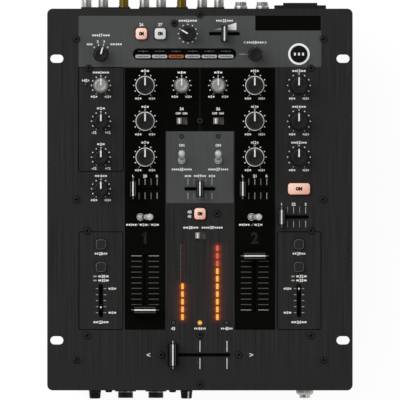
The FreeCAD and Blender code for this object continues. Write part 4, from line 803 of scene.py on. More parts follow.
# How much a face darkens towards its front right corner, a painted shade, is its slant.
ButtonLook = namedtuple("ButtonLook", "material slot slant glyph glyph_width")
KEY_LOOK = ButtonLook(key_abs, "black_button", 0.0, None, 0.0)
BUTTON_LOOKS = {
    "effect_button": ButtonLook(peach_lens, "lit_button", 0.75, ink.black, 4.2),
    "effect_cue_button": ButtonLook(milky_lens, "clear_button", 0.4, ink.black, 4.2),
    "channel_button": ButtonLook(coral_lens, "lit_button", 0.75, ink.black, 4.2),
    "cue_button": ButtonLook(rose_lens, "lit_button", 0.75, ink.brown, 5.6),
    "tap_button": ButtonLook(cap_abs, "black_button", 0.0, None, 0.0),
    "left_reverse_button": KEY_LOOK,
    "right_reverse_button": KEY_LOOK,
    "left_mode_button": KEY_LOOK,
    "right_mode_button": KEY_LOOK,
}
TAP_BARS = (-3.4, 0.0, 3.4)
TAP_BAR_HALF = 1.2
TAP_BAR_WIDTH = 1.5
openings = []  # openings in the plate: x, y, width, depth, corner radius
OPENING_GAP = 0.4
OPENING_CORNER = 1.8


def core_share(places, centre, half, corner, slant):
    """How far inside a rounded rectangle's sides points lie, as a share of the edge's tint from 0 to 1, less
    a painted shade, the slant, that grows from the rear left corner to the front right one."""
    away = places[:, :2] - centre
    past = np.abs(away) - (half - corner)
    inside = corner - np.hypot(*np.maximum(past, 0).T) - np.minimum(past.max(axis=1), 0)
    across = (away / half) @ (0.25, -0.25) + 0.5  # from 0 to 1
    return np.clip(inside / EDGE_TINT, 0, 1) * (1 - slant * across)


for node, look in BUTTON_LOOKS.items():
    box = node_box(node)
    centre = box.place
    width, depth = box.size[:2] - 2 * BUTTON_RIM
    is_tap = node == "tap_button"
    corner = width / 2 - ROUND_SPARE if is_tap else BUTTON_CORNER
    openings.append((*centre, width + 2 * OPENING_GAP, depth + 2 * OPENING_GAP, OPENING_CORNER))
    face = block(width, depth, corner, -BUTTON_SINK, box.top, BUTTON_EDGE, shelf=BUTTON_SHELF)
    marks = []
    if look.glyph:
        marks.append((figures("ON", GLYPH_HEIGHT, look.glyph_width, GLYPH_BOLDNESS), look.glyph))
    if is_tap:
        marks += [(stroke(x, -TAP_BAR_HALF, x, TAP_BAR_HALF, TAP_BAR_WIDTH), ink.white) for x in TAP_BARS]
    parts = [(face, look.material)]
    parts += [(moved(shape, z=box.top + GLYPH_PROUD), material) for shape, material in marks]
    piece = stand_in(node, "_face", parts, look.slot)
    places = places_in(piece.data) / MM
    share = core_share(places, centre, np.array([width, depth]) / 2, corner, look.slant)
    # Only a black key's top edge takes the light edge colour, a painted highlight.
    if look is KEY_LOOK:
        share[places[:, 2] < PLATE_TOP + box.top - BUTTON_EDGE - MERGE] = 1.0
    paint(piece, "core", share)

# Slide switches: a grey knob with one raised rib whose white is a painted highlight, in a window
SWITCH_WIDTH = 4.2
SWITCH_DEPTH = 5.2
SWITCH_SUNK = 2.5
SWITCH_RIB = 1.3
WINDOW = (9.3, 6.1)
WINDOW_CORNER = 0.3
WINDOW_SHIFT = 2.0  # a slide switch rests this far left of its window's middle

for node in moving("_switch"):
    box = node_box(node)
    knob = block(SWITCH_WIDTH, SWITCH_DEPTH, 0.5, -SWITCH_SUNK, box.top, 0.4)
    stem = block(*(box.size[:2] - 0.2), 0.4, box.bottom, 0.1 - SWITCH_SUNK, 0.3)
    # The rib is raised, and its white is a painted highlight.
    rib = block(SWITCH_RIB, SWITCH_DEPTH - 0.8, 0.3, box.top - 0.3, box.top + 0.15, 0.15)
    stand_in(node, "_knob", [(knob, grey_abs), (stem, phenolic), (rib, white_abs)], "switch_knob")
    openings.append((*(box.place + (WINDOW_SHIFT, 0.0)), *WINDOW, WINDOW_CORNER))

# Toggles: a plated ball and stem, a neck darkened brown as painted shade and painted reflection, and a plated bat
# with a round tip, leaned about the pivot
BALL_RADIUS = 2.1
NECK_RADIUS = 1.5
NECK_START = 4.8
BAT_START = 8.2
BAT_RADIUS = 2.4
TIP_RADIUS = 2.8
TIP_HEIGHT = 15.0
ARC_POINTS = 14
BUSHING = 6.0  # diameter of the bushing that a toggle stands in


def arc(radius, height, start, end):
    """Points of a circle about (0, height), between two angles from the horizontal."""
    turn = np.radians(np.linspace(start, end, ARC_POINTS))
    return np.column_stack([radius * np.cos(turn), height + radius * np.sin(turn)])


def toggle_parts():
    """Turned profiles: an arc of the ball that runs into a stem, a neck, and a bat that ends in an arc."""
    stem = [(NECK_RADIUS, NECK_START + 0.2), (0.0, NECK_START + 0.3)]
    ball = np.concatenate([arc(BALL_RADIUS, 0.0, -90, 45), stem])
    neck_top = [(NECK_RADIUS + 0.2, BAT_START + 0.4), (0.0, BAT_START + 0.5)]
    neck = [(0.0, NECK_START), (NECK_RADIUS + 0.05, NECK_START)] + neck_top
    meet = math.degrees(math.acos(BAT_RADIUS / TIP_RADIUS))
    foot = [(0.0, BAT_START), (NECK_RADIUS, BAT_START), (BAT_RADIUS - 0.1, BAT_START + 0.9)]
    bat = np.concatenate([foot, arc(TIP_RADIUS, TIP_HEIGHT, -meet, 90)])
    # The neck's brown-grey is painted shade and painted reflection.
    return [(turned(ball), satin_chrome), (turned(neck), neck_shade), (turned(bat), satin_chrome)]


for node in moving("_toggle"):
    joint = JOINTS[node]
    tilt = rotation(-sum(joint["range_deg"]) / 2, Vector(joint["axis"]))
    pivot = np.array(joint["pos_m"]) / MM
    openings.append((*pivot[:2], BUSHING, BUSHING, BUSHING / 2))
    stand_in(
        node,
        "_lever",
        toggle_parts(),
        "switch_chrome",
        place=lambda shape: Shape(shape.points @ tilt.T + pivot, shape.faces),
    )

# Lamps: bars of two meters and a display, round lamps in bezels, and the ring round the tap button
METER_LIT = {-1: ("amber",) * 5 + ("dark",) * 5, 1: ("amber",) * 7 + ("red",) * 3}  # from the front upwards
LIT_LENSES = {
    "amber": (tinted.lit_amber_edge, tinted.lit_amber),
    "red": (tinted.lit_red_edge, tinted.lit_red),
}
CORE = (1.9, 4.6)  # bright middle of a lit bar
CORE_PROUD = 0.08
# The lines at the unlit bars' window edges are painted highlights.
THREAD_WIDTH = 0.45  # edges of the unlit bars' window
THREAD_REACH = 1.5
WINDOW_EDGE_HIGHLIGHTS = {-1: tinted.unlit_edge, 1: tinted.unlit_far_edge}
DISPLAY_LIT = 2
DISPLAY_LENGTH = 10.0  # a longer bar is the display's
DISPLAY_TRIM = 0.25
DISPLAY_LABEL = (8.6, 1.5, 0.7)  # width, height and bar
RING_SIZE = 16.0  # a wider lamp is the ring
RING_WIDE = 1.85
ROUND_PROPORTION = 1.1  # a longer lamp is a meter's bar
LAMP_SINK = 0.5
BEZEL = 0.5
BEZEL_LAP = 0.4
BEZEL_LIP = 0.3
# The lip's lighter grey is a painted highlight on the bezel's inner edge.
ROUND_LAMP = (tinted.unlit_grey, cap_abs, edge_highlight_abs)  # lens, bezel and lip
MODE_LAMP = (tinted.lit_yellow, tinted.lit_yellow_edge, tinted.lit_yellow)
MODE_REACH = 1.0  # the mode lamp is this near the plate's middle line


def lamp_lens(box, corner, crown, trim=0.0):
    """Lens that fills a lamp's box above the plate."""
    width, depth = box.size[:2]
    return moved(block(width - 2 * trim, depth, corner, -LAMP_SINK, box.top, 0.1, crown), *box.place)


meter_bars = {-1: [], 1: []}
display_bars = []
lamp_parts = []
for box in solids_of("indicator_lamps"):
    middle = box.place
    radius = box.size[0] / 2
    if box.size[0] > RING_SIZE:
        ring = tube(radius - RING_WIDE, radius, -LAMP_SINK, box.top, 0.3)
        lamp_parts.append((moved(ring, *middle), frosted.lit_white))
    elif box.size[0] > DISPLAY_LENGTH:
        display_bars.append(box)
    elif box.size[1] > ROUND_PROPORTION * box.size[0]:
        meter_bars[1 if box.low[0] > 0 else -1].append(box)
    else:
        bezel = tube(radius - BEZEL, radius + BEZEL_LAP, -LAMP_SINK, box.top + 0.3, 0.15)
        lip = tube(radius - BEZEL - BEZEL_LIP, radius - BEZEL + 0.1, -LAMP_SINK, box.top + 0.35, 0.1)
        shapes = (lamp_lens(box, radius - ROUND_SPARE, 0.4), moved(bezel, *middle), moved(lip, *middle))
        lamp_parts += zip(shapes, MODE_LAMP if abs(middle[0]) < MODE_REACH else ROUND_LAMP)
glow_places = []
for side, bars in meter_bars.items():
    bars.sort(key=lambda box: box.low[1])
    pitch = bars[1].low[1] - bars[0].low[1]
    for box, state in zip(bars, METER_LIT[side]):
        x, y = box.place
        level = box.top + CORE_PROUD
        lens = lamp_lens(box, 0.4, 0.05)
        if state == "dark":
            lamp_parts.append((lens, tinted.unlit_smoke))
            # Lighter lines at the window's edges, painted highlights.
            thread = block(THREAD_WIDTH, pitch, 0.2, -0.1, level, 0.05)
            for sign, edge in WINDOW_EDGE_HIGHLIGHTS.items():
                lamp_parts.append((moved(thread, x + sign * THREAD_REACH, y), edge))
        else:
            core = moved(block(*CORE, 0.5, -LAMP_SINK, level, 0.05), x, y)
            lamp_parts += zip((lens, core), LIT_LENSES[state])
            glow_places.append((x, y))
display_bars.sort(key=lambda box: box.low[0])
for number, box in enumerate(display_bars):
    lens = lamp_lens(box, 1.0, 0.0, DISPLAY_TRIM)
    lamp_parts.append((lens, frosted.lit_orange if number == DISPLAY_LIT else frosted.unlit_frost))
    for shape in captioned(str(number + 1), *DISPLAY_LABEL):
        lamp_parts.append((moved(shape, *box.place, box.high[2] + GLYPH_PROUD), ink.line_black))
build("lamp_lenses", lamp_parts, CASE, ("indicator_lamps",))

# Phono sockets: black blocks with plated sleeves, a white insert on the upper row and a red one below
PHONO_HOUSING = 15.0  # a wider solid is a block's housing
PHONO_CORNER = 0.8
PHONO_SINK = 0.3
SLEEVE_OUTER = 4.1
SLEEVE_WALL = 0.45
PIN_RADIUS = 1.6
INSERT_SETBACK = 0.6
phono_reach = node_box("rca_sockets").high[1] - WALL_FACE
phono = np.array([place for name, place in MOUNTS.items() if name.startswith("phono")])
phono_parts = []
for box in solids_of("rca_sockets"):
    width, _, height = box.size
    if width > PHONO_HOUSING:
        x, _, z = box.middle
        flange = block(width, height, PHONO_CORNER, -PHONO_SINK, box.high[1] - WALL_FACE, 0.4)
        phono_parts.append((on_wall(flange, x, z, 1), nylon))
insert_top = phono_reach - INSERT_SETBACK
bore = SLEEVE_OUTER - SLEEVE_WALL
for x, _, z in phono:
    insert = white_nylon if z > phono[:, 2].mean() else red_nylon
    for shape, material in (
        (tube(bore, SLEEVE_OUTER, 0.0, phono_reach, 0.15), nickel),
        (tube(PIN_RADIUS, bore, 0.0, insert_top, 0.2), insert),
        (tube(PIN_RADIUS - 0.35, PIN_RADIUS, 0.0, insert_top - 0.4, 0.1, 24), gold),
    ):
        phono_parts.append((on_wall(shape, x, z, 1), material))
build("phono_sockets", phono_parts, CASE, ("rca_sockets",))

# Jacks: a black flange, a plated washer and a black nut at the front, tapered knurled nuts at the rear, and a
# plated nut for the microphone
JACK_BORE = 3.25
BARREL_RADIUS = 4.5
JACK_SINK = 1.0
BORE_DEPTH = 12.0
KNURLS = 24
KNURL_DEPTH = 0.4
NUT_SIDES = 96
FRONT_FLANGE = [(8.75, -JACK_SINK), (8.75, 1.4), (8.3, 1.8)]
FRONT_WASHER = [(6.1, 1.7), (6.1, 2.4)]
FRONT_NUT = [(6.2, 2.4), (6.2, 6.9), (6.0, 7.1)]
REAR_WASHER = [(5.5, -JACK_SINK), (5.5, 2.0), (5.1, 3.3)]
REAR_NUT = [(4.9, 3.2), (4.6, 5.8), (4.3, 6.2)]
MIC_NUT = [(7.25, -JACK_SINK), (7.25, 2.6), (6.9, 3.4), (5.2, 4.6)]
# Wall, the barrel's reach and finish, and rings: section, finish and number of knurls
JackLook = namedtuple("JackLook", "side reach barrel rings")
FRONT_RINGS = ((FRONT_FLANGE, nylon, 0), (FRONT_WASHER, nickel, 0), (FRONT_NUT, nylon, 0))
JACK_LOOKS = {
    "front": JackLook(-1, 7.1, nylon, FRONT_RINGS),
    "rear": JackLook(1, 6.3, zinc, ((REAR_WASHER, nickel, 0), (REAR_NUT, zinc, KNURLS // 2))),
    "mic": JackLook(-1, 7.1, nickel, ((MIC_NUT, nickel, KNURLS),)),
}


def jack_parts(look):
    """Rings turned from sections of (radius, height) points, round a barrel whose bore has a dark floor."""
    inner = BARREL_RADIUS - 0.3
    floor = -JACK_SINK - BORE_DEPTH
    parts = [(tube(JACK_BORE, BARREL_RADIUS, floor, look.reach, 0.3), look.barrel)]
    parts.append((block(2 * inner, 2 * inner, inner - 0.1, floor - 1, floor + 0.5, 0.2), nylon))
    for section, material, knurls in look.rings:
        whole = [(inner, section[0][1])] + section + [(inner, section[-1][1])]
        parts.append((hoop(whole, 0.2, NUT_SIDES, knurls, KNURL_DEPTH * bool(knurls)), material))
    return parts


jack_pieces = []
for name, place in MOUNTS.items():
    look = JACK_LOOKS.get(name.split("_jack")[0])
    if look:
        x, _, z = place
        for shape, material in jack_parts(look):
            jack_pieces.append((on_wall(shape, x, z, look.side), material))
build("jack_nuts", jack_pieces, CASE, ("jack_sockets",))

# Mains inlet's pins, in sleeves of plating a hair over the solid ones, and the marks on the power rocker
PIN_PLATING = 0.06
INLET_PIN_SPAN = 10.0  # the inlet's larger solid is its housing
pin_parts = []
for box in solids_of("mains_inlet"):
    width, length, height = box.size
    if width < INLET_PIN_SPAN:
        x, _, z = box.middle
        pin = block(width + 2 * PIN_PLATING, height + 2 * PIN_PLATING, 0.5, 0.2, length + PIN_PLATING, 0.6)
        pin_parts.append((on_wall(moved(pin, z=box.low[1] - WALL_FACE), x, z, 1), nickel))
build("inlet_pins", pin_parts)

ROCKER_HALF = 8.5
ROCKER_SETBACK = 0.6
ROCKER_RIDGE = 1.2
ROCKER_MARK = 0.06
MARK_RADIUS = 1.7
MARK_BORE = 0.68  # over the radius
MARK_WIDTH = 0.6
rocker = JOINTS["power_rocker"]
rocker_pivot = np.array(rocker["pos_m"]) / MM
rocker_turn = rotation(sum(rocker["range_deg"]) / 2, "X")
slope = math.degrees(math.atan2(ROCKER_RIDGE, ROCKER_HALF))
pivot_depth = WALL_FACE - rocker_pivot[1]
mark_level = ROCKER_MARK - ROCKER_SETBACK - ROCKER_RIDGE / 2 + pivot_depth
circle = dot(0.0, 0.0, 2 * MARK_RADIUS, 32).points[:, :2]
on_mark = stroke(0.0, -MARK_RADIUS, 0.0, MARK_RADIUS, MARK_WIDTH)
rocker_marks = []
for shape, sign in ((on_mark, -1), (area([circle, circle * MARK_BORE]), 1)):
    points = shape.points @ rotation(sign * slope, "X").T
    points += np.array([0.0, sign * ROCKER_HALF / 2, mark_level])
    placed = Shape(points @ rocker_turn.T - np.array([0.0, 0.0, pivot_depth]), shape.faces)
    rocker_marks.append((on_wall(placed, rocker_pivot[0], rocker_pivot[2], 1), ink.white))
build("power_rocker_marks", rocker_marks, "power_rocker")

# A lighter ring round the recess of the screws in the plate
RECESS_RADIUS = 1.6
RECESS_RING_WIDTH = 0.35
SCREW_RISE = 1.0  # a screw that ends higher is in the plate
recess_ring = tube(RECESS_RADIUS, RECESS_RADIUS + RECESS_RING_WIDTH, -0.2, 0.03, 0.05, 20)
plate_screws = [box for box in solids_of("panel_screws") if box.top > SCREW_RISE]
recess_ring_parts = [(moved(recess_ring, *box.place, box.high[2]), recess_ring_steel) for box in plate_screws]
build("screw_wear", recess_ring_parts)

# Print on the plate. Areas leave out the openings that lie in them.
SLOT_SPARE = 5.7  # a fader's slot is this much longer than its travel
SLOT_WIDTH = 2.9
STUB_SPARE = 7.7  # and a contour slider's this much
STUB_SLOT = 3.7
SLOT_CORNER = 0.8
FRAME_CORNER = 2.0
FRAME_LINE = 0.8
fader_paths = {}  # middle of a slider's travel, the travel, and its axis
for node in FADERS + CONTOURS:
    low, high = np.array(JOINTS[node]["range_m"]) / MM
    axis = np.array(JOINTS[node]["axis"][:2])
    middle = place_of(node) + axis * (low + high) / 2
    fader_paths[node] = (middle, high - low, axis)
    spare, across = (STUB_SPARE, STUB_SLOT) if node in CONTOURS else (SLOT_SPARE, SLOT_WIDTH)
    openings.append((*middle, *np.where(axis > 0.5, high - low + spare, across), SLOT_CORNER))


def printed(x0, x1, y0, y1, corner=0.05):
    """Rounded area with the openings that lie in it left out."""
    middle = np.array([x0 + x1, y0 + y1]) / 2
    rings = [outline(x1 - x0, y1 - y0, corner)[0] + middle]
    for x, y, width, depth, radius in openings:
        if x0 < x < x1 and y0 < y < y1:
            limit = min(width, depth) / 2 - ROUND_SPARE
            rings.append(outline(width, depth, min(radius, limit))[0] + (x, y))
    return area(rings)


def framed(x0, x1, y0, y1):
    """Thin line round a rounded area: what lies between its outline and one set in by the line's width."""
    middle = np.array([x0 + x1, y0 + y1]) / 2
    return area(outline(x1 - x0, y1 - y0, FRAME_CORNER, np.array([0.0, FRAME_LINE])) + middle)


STRIP_INNER = 28.8
STRIP_OUTER = 62.5
STRIP_LOW = -108.4
STRIP_TOP = 109.4
areas = []
for shape, material, layer in (
    (printed(-100.9, 100.9, 110.2, 152.7, 1.0), grey_ink, AREA_LAYER),
    (printed(-STRIP_OUTER, -STRIP_INNER, STRIP_LOW, STRIP_TOP), ink.black, AREA_LAYER),
    (printed(STRIP_INNER, STRIP_OUTER, STRIP_LOW, STRIP_TOP), ink.black, AREA_LAYER),
    (printed(-STRIP_INNER, STRIP_INNER, 56.7, STRIP_TOP), ink.black, AREA_LAYER),
    (printed(-27.9, 27.9, -2.9, 56.7), grey_ink, PANEL_LAYER),
    (printed(46.0, 100.7, 140.5, 152.9, 0.5), ink.black, PANEL_LAYER),
    (printed(-55.9, 30.3, 116.3, 125.7, 4.6), ink.black, PANEL_LAYER),
    (stroke(0.0, 57.0, 0.0, STRIP_TOP, 0.5), ink.faint_grey, PANEL_LAYER),
    (framed(-101.4, -63.1, 22.9, 110.3), ink.line_black, AREA_LAYER),
    (framed(-101.0, -63.7, -108.5, -26.4), ink.line_black, AREA_LAYER),
    (framed(64.0, 101.1, -108.5, -26.4), ink.line_black, AREA_LAYER),
):
    areas.append((moved(shape, z=PLATE_TOP + layer), material))
build("printed_areas", areas)

# Legends: dots and ticks round knobs and beside sliders, numbers for titles, ON and OFF at switches
TITLE_HEIGHT = 2.3
LABEL_HEIGHT = 2.0
SMALL_HEIGHT = 1.7
CHANNEL_HEIGHT = 8.9
TITLE_BAR = 1.4
DOT = 1.1
TICK = 0.6
TICK_IN = 0.6  # how far a dial's end ticks reach in and out
TICK_OUT = 0.5
THIN = 0.5
END_WIDTH = 5.2
ENDS_APART = 5.7
Dial = namedtuple("Dial", "radius title ends")  # its radius, and how far off its title and ends are
SMALL_DIAL = Dial(7.8, 10.7, 9.4)
LARGE_DIAL = Dial(9.4, 12.0, 10.9)
legend = []
numbers = count(1)


def mark(shape, material=ink.white):
    """Lays a flat shape on the plate."""
    legend.append((moved(shape, z=PLATE_TOP + LEGEND_LAYER), material))


def label(text, x, y, width=0.0, material=ink.white, height=LABEL_HEIGHT, bar=TITLE_BAR):
    """Figures at a place, with bars that fill a width if there is one."""
    for shape in captioned(text, width, height, bar):
        mark(moved(shape, x, y, 0.0), material)


def title(x, y, width, material=ink.white, height=TITLE_HEIGHT, bar=TITLE_BAR):
    """The next number, with bars that fill a title's width."""
    label(str(next(numbers)), x, y, width, material, height, bar)


def polar(x, y, radius, degrees):
    """Point at a distance and a clockwise angle from the rear."""
    turn = math.radians(degrees)
    return x + radius * math.sin(turn), y + radius * math.cos(turn)


def spoke(x, y, near, far, degrees):
    """Tick that points away from a knob's middle."""
    return stroke(*polar(x, y, near, degrees), *polar(x, y, far, degrees), TICK)


def arrows(x, y, tip, tail, half, width):
    """Two arrowheads that point away from a place, one on each side of it."""
    for sign in (-1, 1):
        for end in (-half, half):
            mark(stroke(x + sign * tip, y, x + sign * tail, y + end, width))


def ticks(node, near, far, width, inks):
    """Ticks on both sides of a slider, at even steps of its travel: inks go from the middle to each end."""
    middle, travel, axis = fader_paths[node]
    steps = len(inks) - 1
    for step in range(-steps, steps + 1):
        place = middle + axis * step * travel / (2 * steps)
        for sign in (-1, 1):
            start, end = (place + axis[::-1] * sign * reach for reach in (near, far))
            mark(stroke(*start, *end, width), inks[abs(step)])


KNOB_TITLES = {  # widths, in the order of the numbers
    "mic_gain": 13.3,
    "mic_high": 6.7,
    "mic_low": 6.2,
    "aux_in": 10.0,
    "ch1_high": 6.7,
    "ch1_mid": 6.0,
    "ch1_low": 6.2,
    "ch1_gain": 6.8,
    "ch2_gain": 6.8,
    "ch2_high": 6.7,
    "ch2_mid": 6.0,
    "ch2_low": 6.2,
    "master": 11.0,
    "aux_out": 11.4,
    "cue_gain": 12.8,
}
BOOST_KNOBS = ("mic_high", "mic_low")
ASSIGN_LABELS = ((-9.4, 8.2, 4.6), (-2.6, 10.5, 0.0), (2.7, 10.5, 0.0), (12.6, 8.2, 9.4))  # x, y, width
SELECT_TITLE = 9.7

for name, width in KNOB_TITLES.items():
    node = name + "_knob"
    x, y = place_of(node)
    dial = LARGE_DIAL if knob_look(node) is TONE_LOOK else SMALL_DIAL
    for degrees in range(-120, 121, 30):
        mark(dot(*polar(x, y, dial.radius, degrees), DOT))
    for degrees in (-150, 150):
        mark(spoke(x, y, dial.radius - TICK_IN, dial.radius + TICK_OUT, degrees), ink.pale_grey)
    title(x, y + dial.title, width)
    ends = ("-12", "+12") if name in BOOST_KNOBS else ("0", "10")
    for sign, text in zip((-1, 1), ends):
        label(text, x + sign * ENDS_APART, y - dial.ends, END_WIDTH)

x, y = place_of("frequency_knob")
for degrees in range(0, 360, 30):
    mark(dot(*polar(x, y, SMALL_DIAL.radius, degrees), DOT))
title(x, y + 10.8, 15.0)
x, y = place_of("effect_assign_knob")
for degrees in (-45, -15, 15, 45):
    mark(spoke(x, y, 7.0, 8.8, degrees))
for number, (right, up, width) in enumerate(ASSIGN_LABELS, 1):
    label(str(number), x + right, y + up, width)
title(x, y + 15.6, 14.5)
x, y = place_of("effect_select_knob")
title(x, y + SELECT_TITLE, 14.0)
arrows(x, y + SELECT_TITLE, 9.4, 8.1, 0.9, THIN)
mark(stroke(32.4, y, 38.2, y, THIN), ink.pale_grey)

# Ticks beside sliders
PAN_INKS = (ink.pale_grey, ink.mid_grey, ink.pale_grey)
LEVEL_INKS = (ink.dim_grey,) * 5 + (ink.pale_grey,)
PAN_TITLE = 10.65
PAN_ENDS = 10.0
CONTOUR_TICKS = ((-4.2, -2.3), (2.3, 4.4))
FINE_TICK = 0.55
for node in ("loop_fader", "ch1_pan_fader", "ch2_pan_fader", "cue_pan_fader"):
    x, y = fader_paths[node][0]
    ticks(node, 3.2, 8.5, FINE_TICK, PAN_INKS)
    is_loop = node == "loop_fader"
    title(x, y + PAN_TITLE, 10.0 if is_loop else 4.8)
    for sign, text in zip((-1, 1), "LR" if "ch" in node else "12"):
        label(text, x + sign * PAN_ENDS, y + PAN_TITLE, END_WIDTH if is_loop else 0.0)
for node in ("ch1_level_fader", "ch2_level_fader"):
    ticks(node, 2.9, 11.5, THIN, LEVEL_INKS)
ticks("crossfader", 2.6, 11.7, TICK, (ink.white,) * 2)
arrows(0.0, fader_paths["crossfader"][0][1], 44.4, 41.2, 1.25, TICK)
for node, side in zip(CONTOURS, (1, -1)):
    (x, y), travel, _ = fader_paths[node]
    for step in range(-2, 3):
        level = y + step * travel / 4
        for start, end in CONTOUR_TICKS:
            mark(stroke(x + start, level, x + end, level, FINE_TICK), ink.pale_grey)
    for text, level in (("10", y + travel / 2), ("0", y - travel / 2)):
        label(text, x + side * 9.5, level, 6.2)
    title(x, -102.0, 12.5)

# Wedge over the intensity fader
x, y = fader_paths["intensity_fader"][0]
title(x, y + 10.8, 14.0)
wedge = np.array([(WEDGE_LEFT, y + 3.0, 0.0), (WEDGE_RIGHT, y + 3.0, 0.0), (WEDGE_RIGHT, y + 9.2, 0.0)])
mark(Shape(wedge, np.array([[0, 1, 2]])), wedge_ink)

# Titles at buttons, switches, toggles and lamps
BUTTON_TITLES = {  # how far behind the button, and the width
    "effect_button": (7.6, 5.0),
    "effect_cue_button": (7.6, 5.0),
    "left_reverse_button": (-7.7, 10.4),
    "right_reverse_button": (-7.7, 10.4),
}
MODE_ROWS = (-7.8, -11.2)
LOOP_X = 15.15  # of the loop toggles and the switches behind them
SWITCH_LEVEL = 71.6
CHANNEL_X = 45.6
# x, y and width
STEREO_TITLES = ((-7.6, -23.4, 12.5), (10.1, -23.4, 17.3), (-8.6, -10.3, 4.6), (-8.8, -14.0, 5.0))
INPUT_LEVEL = -21.0
INPUT_LABELS = (("1", -57.0, 8.6), ("2", -46.8, 6.6), ("3", -37.4, 6.4), ("1", 36.9, 8.6), ("2", 48.6, 6.6))
INPUT_SLASHES = (-52.0, -42.3, 43.5)
METER_TITLES = {-22.3: 5.0, 0.0: 9.5, 22.3: 9.5}  # width at each x

for node, (up, width) in BUTTON_TITLES.items():
    x, y = place_of(node)
    title(x, y + up, width)
for node in ("left_mode_button", "right_mode_button"):
    x, y = place_of(node)
    for row in MODE_ROWS:
        mark(stroke(x - 6.3, y + row, x - 3.6, y + row, 1.1), ink.pale_grey)
        title(x + 2.1, y + row, 8.6)
for sign, channel in ((-1, "1"), (1, "2")):
    x = sign * LOOP_X
    title(x, 75.4, 3.0)
    label("OFF", x - 2.9, SWITCH_LEVEL, height=SMALL_HEIGHT)
    label("ON", x + 2.7, SWITCH_LEVEL, height=SMALL_HEIGHT)
    label("ON", x, 45.1)
    title(x, 25.0, 16.5)
    label(channel, sign * CHANNEL_X, -32.0, material=ink.faint_grey, height=CHANNEL_HEIGHT)
mark(stroke(-48.2, -29.6, -46.0, -28.0, TITLE_BAR), ink.faint_grey)
for place in STEREO_TITLES:
    title(*place)
for text, x, width in INPUT_LABELS:
    label(text, x, INPUT_LEVEL, width)
for x in INPUT_SLASHES:
    mark(stroke(x - 1.0, INPUT_LEVEL - 1.0, x + 1.0, INPUT_LEVEL + 1.0, 0.4), ink.pale_grey)
title(-95.1, 99.0, 6.0)
for x, width in METER_TITLES.items():
    title(x, -107.3, width)
for box in display_bars:
    title(box.middle[0], 123.3, 8.0, ink.dim_grey, 1.3, 0.6)
build("printed_legends", legend)

# Light from the meters on the plate between them
GLOW_BELLS = ((2.3, 0.34), (7.0, 0.018))  # reach and strength
GLOW_STEP = 0.8
GLOW_X = 27.0
GLOW_LOW = -104.0
GLOW_TOP = -35.0


def meter_glow():
    """Sheet just above the plate whose glow is the sum, over the lit bars, of bell curves of the distance."""
    material = finish("anodised_aluminium_lamplit", **PLATE_LOOK)
    tree = material.node_tree
    shader = tree.nodes["Principled BSDF"]
    shader.inputs["Emission Color"].default_value = linear("#ff6a20")
    light = add(tree, "ShaderNodeAttribute", {}, attribute_name="glow")
    tree.links.new(light.outputs["Fac"], shader.inputs["Emission Strength"])
    x = np.arange(-GLOW_X, GLOW_X + GLOW_STEP / 2, GLOW_STEP)
    y = np.arange(GLOW_LOW, GLOW_TOP + GLOW_STEP / 2, GLOW_STEP)
    grid = np.stack(np.meshgrid(x, y, PLATE_TOP + GLOW_LAYER), axis=-1)[:, :, 0]
    sheet = build("meter_glow", [(woven(grid, around=False), material)])
    places = places_in(sheet.data)[:, None, :2] / MM
    away = ((places - np.array(glow_places)) ** 2).sum(axis=-1)
    paint(sheet, "glow", sum(np.exp(-away / reach**2).sum(axis=1) * share for reach, share in GLOW_BELLS))


meter_glow()

# Finishes of CAD nodes whose shape is right
for node, material in {
    "faceplate": brushed,
    "case_tub": powder_coat,
    "rubber_feet": rubber,
    "panel_screws": blackened,
    "ground_terminals": gold,
    "mains_inlet": nylon,
    "power_rocker": black_abs,
    "control_board": laminate,
    "potentiometers": track_nylon,
    "power_supply": wound_core,
    "switch_bodies": switch_mix,
}.items():
    for slot in frame["nodes"][node].material_slots:
        slot.material = material

# Studio: a pale floor that the camera and reflections see as almost white, soft lights, and a sky that is
# darker overhead
FLOOR_SIZE = 6000.0
FLOOR_STEPS = 25
FLOOR_DISH = 40.0
FLOOR_WHITE = 0.82  # share of plain white where the camera sees the floor; the rest keeps the shadow
FLOOR_GLOW = 1.1
SKY_HORIZON = 0.9
SKY_ZENITH = 0.22


def make_floor():
    """Gently dished square sheet at the feet's level: it rises with the fourth power of the distance."""
    span = np.linspace(-FLOOR_SIZE / 2, FLOOR_SIZE / 2, FLOOR_STEPS)
    x, y = np.meshgrid(span, span)
    rise = FLOOR_DISH * ((x**2 + y**2) / (FLOOR_SIZE / 2) ** 2) ** 2
    sheet = woven(np.stack([x, y, rise], axis=-1) * MM, around=False)
    mesh = bpy.data.meshes.new("studio_floor")
    mesh.from_pydata(sheet.points.tolist(), [], sheet.faces.tolist())
    material = finish("painted_board_pale", "#f0f0ee", "#f6f6f4", 40.0, (0.7, 0.8))
    tree = material.node_tree
    path = add(tree, "ShaderNodeLightPath", {}).outputs
    seen = path["Is Camera Ray"]
    for ray in ("Is Glossy Ray", "Is Transmission Ray"):
        seen = add(tree, "ShaderNodeMath", {0: seen, 1: path[ray]}, operation="MAXIMUM").outputs[0]
    share = add(tree, "ShaderNodeMath", {0: seen, 1: FLOOR_WHITE}, operation="MULTIPLY")
    white = add(tree, "ShaderNodeEmission", {"Strength": FLOOR_GLOW})
    board = tree.nodes["Principled BSDF"].outputs[0]
    blend = add(tree, "ShaderNodeMixShader", {0: share.outputs[0], 1: board, 2: white.outputs[0]})
    tree.links.new(blend.outputs[0], tree.nodes["Material Output"].inputs["Surface"])
    mesh.materials.append(material)
    floor = bpy.data.objects.new("studio_floor", mesh)
    bpy.context.scene.collection.objects.link(floor)


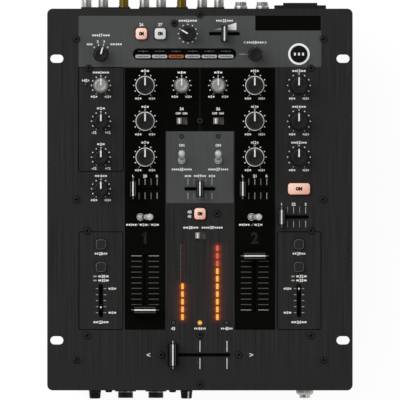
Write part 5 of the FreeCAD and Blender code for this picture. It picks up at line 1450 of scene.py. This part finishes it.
def make_sky():
    """World light that runs from the horizon to a darker zenith, white where the camera sees it."""
    world = bpy.data.worlds.new("studio_sky")
    world.use_nodes = True
    tree = world.node_tree
    way = add(tree, "ShaderNodeTexCoord", {})
    parts = add(tree, "ShaderNodeSeparateXYZ", {0: way.outputs["Generated"]})
    limits = {"Value": parts.outputs["Z"], "To Min": SKY_HORIZON, "To Max": SKY_ZENITH}
    tone = add(tree, "ShaderNodeMapRange", limits)
    seen = add(tree, "ShaderNodeLightPath", {}).outputs["Is Camera Ray"]
    level = add(tree, "ShaderNodeMath", {0: tone.outputs[0], 1: seen}, operation="MAXIMUM")
    tree.links.new(level.outputs[0], tree.nodes["Background"].inputs["Strength"])
    tree.nodes["Background"].inputs["Color"].default_value = (1, 1, 1, 1)
    bpy.context.scene.world = world


def make_lamp(name, place, size, watts):
    """Square soft light aimed at the plate's middle."""
    data = bpy.data.lights.new(name, "AREA")
    data.size = size * MM
    data.energy = watts
    lamp = bpy.data.objects.new(name, data)
    lamp.location = Vector(place) * MM
    aim = Vector((0.0, 0.0, PLATE_TOP * MM)) - lamp.location
    lamp.rotation_euler = aim.to_track_quat("-Z", "Y").to_euler()
    lamp.visible_camera = False
    bpy.context.scene.collection.objects.link(lamp)


make_floor()
make_sky()
make_lamp("key_light", (-1100.0, 1000.0, 1500.0), 1800.0, 24.0)
make_lamp("fill_light", (1300.0, -700.0, 1500.0), 1200.0, 5.0)

# Camera: straight above, far off, so that the plate shows almost without perspective
CAMERA_RISE = 14000.0
CAMERA_X = 0.06
CAMERA_Y = -0.4
FRAME_WIDTH = 332.64  # on the plate's top
SENSOR = 36.0
data = bpy.data.cameras.new("overhead_camera")
data.sensor_width = SENSOR
data.lens = SENSOR * CAMERA_RISE / FRAME_WIDTH
data.clip_end = 3 * CAMERA_RISE * MM
camera = bpy.data.objects.new("overhead_camera", data)
camera.location = Vector((CAMERA_X, CAMERA_Y, PLATE_TOP + CAMERA_RISE)) * MM
bpy.context.scene.collection.objects.link(camera)
bpy.context.scene.camera = camera
bpy.context.scene.view_settings.view_transform = "Standard"

bpy.context.view_layer.update()
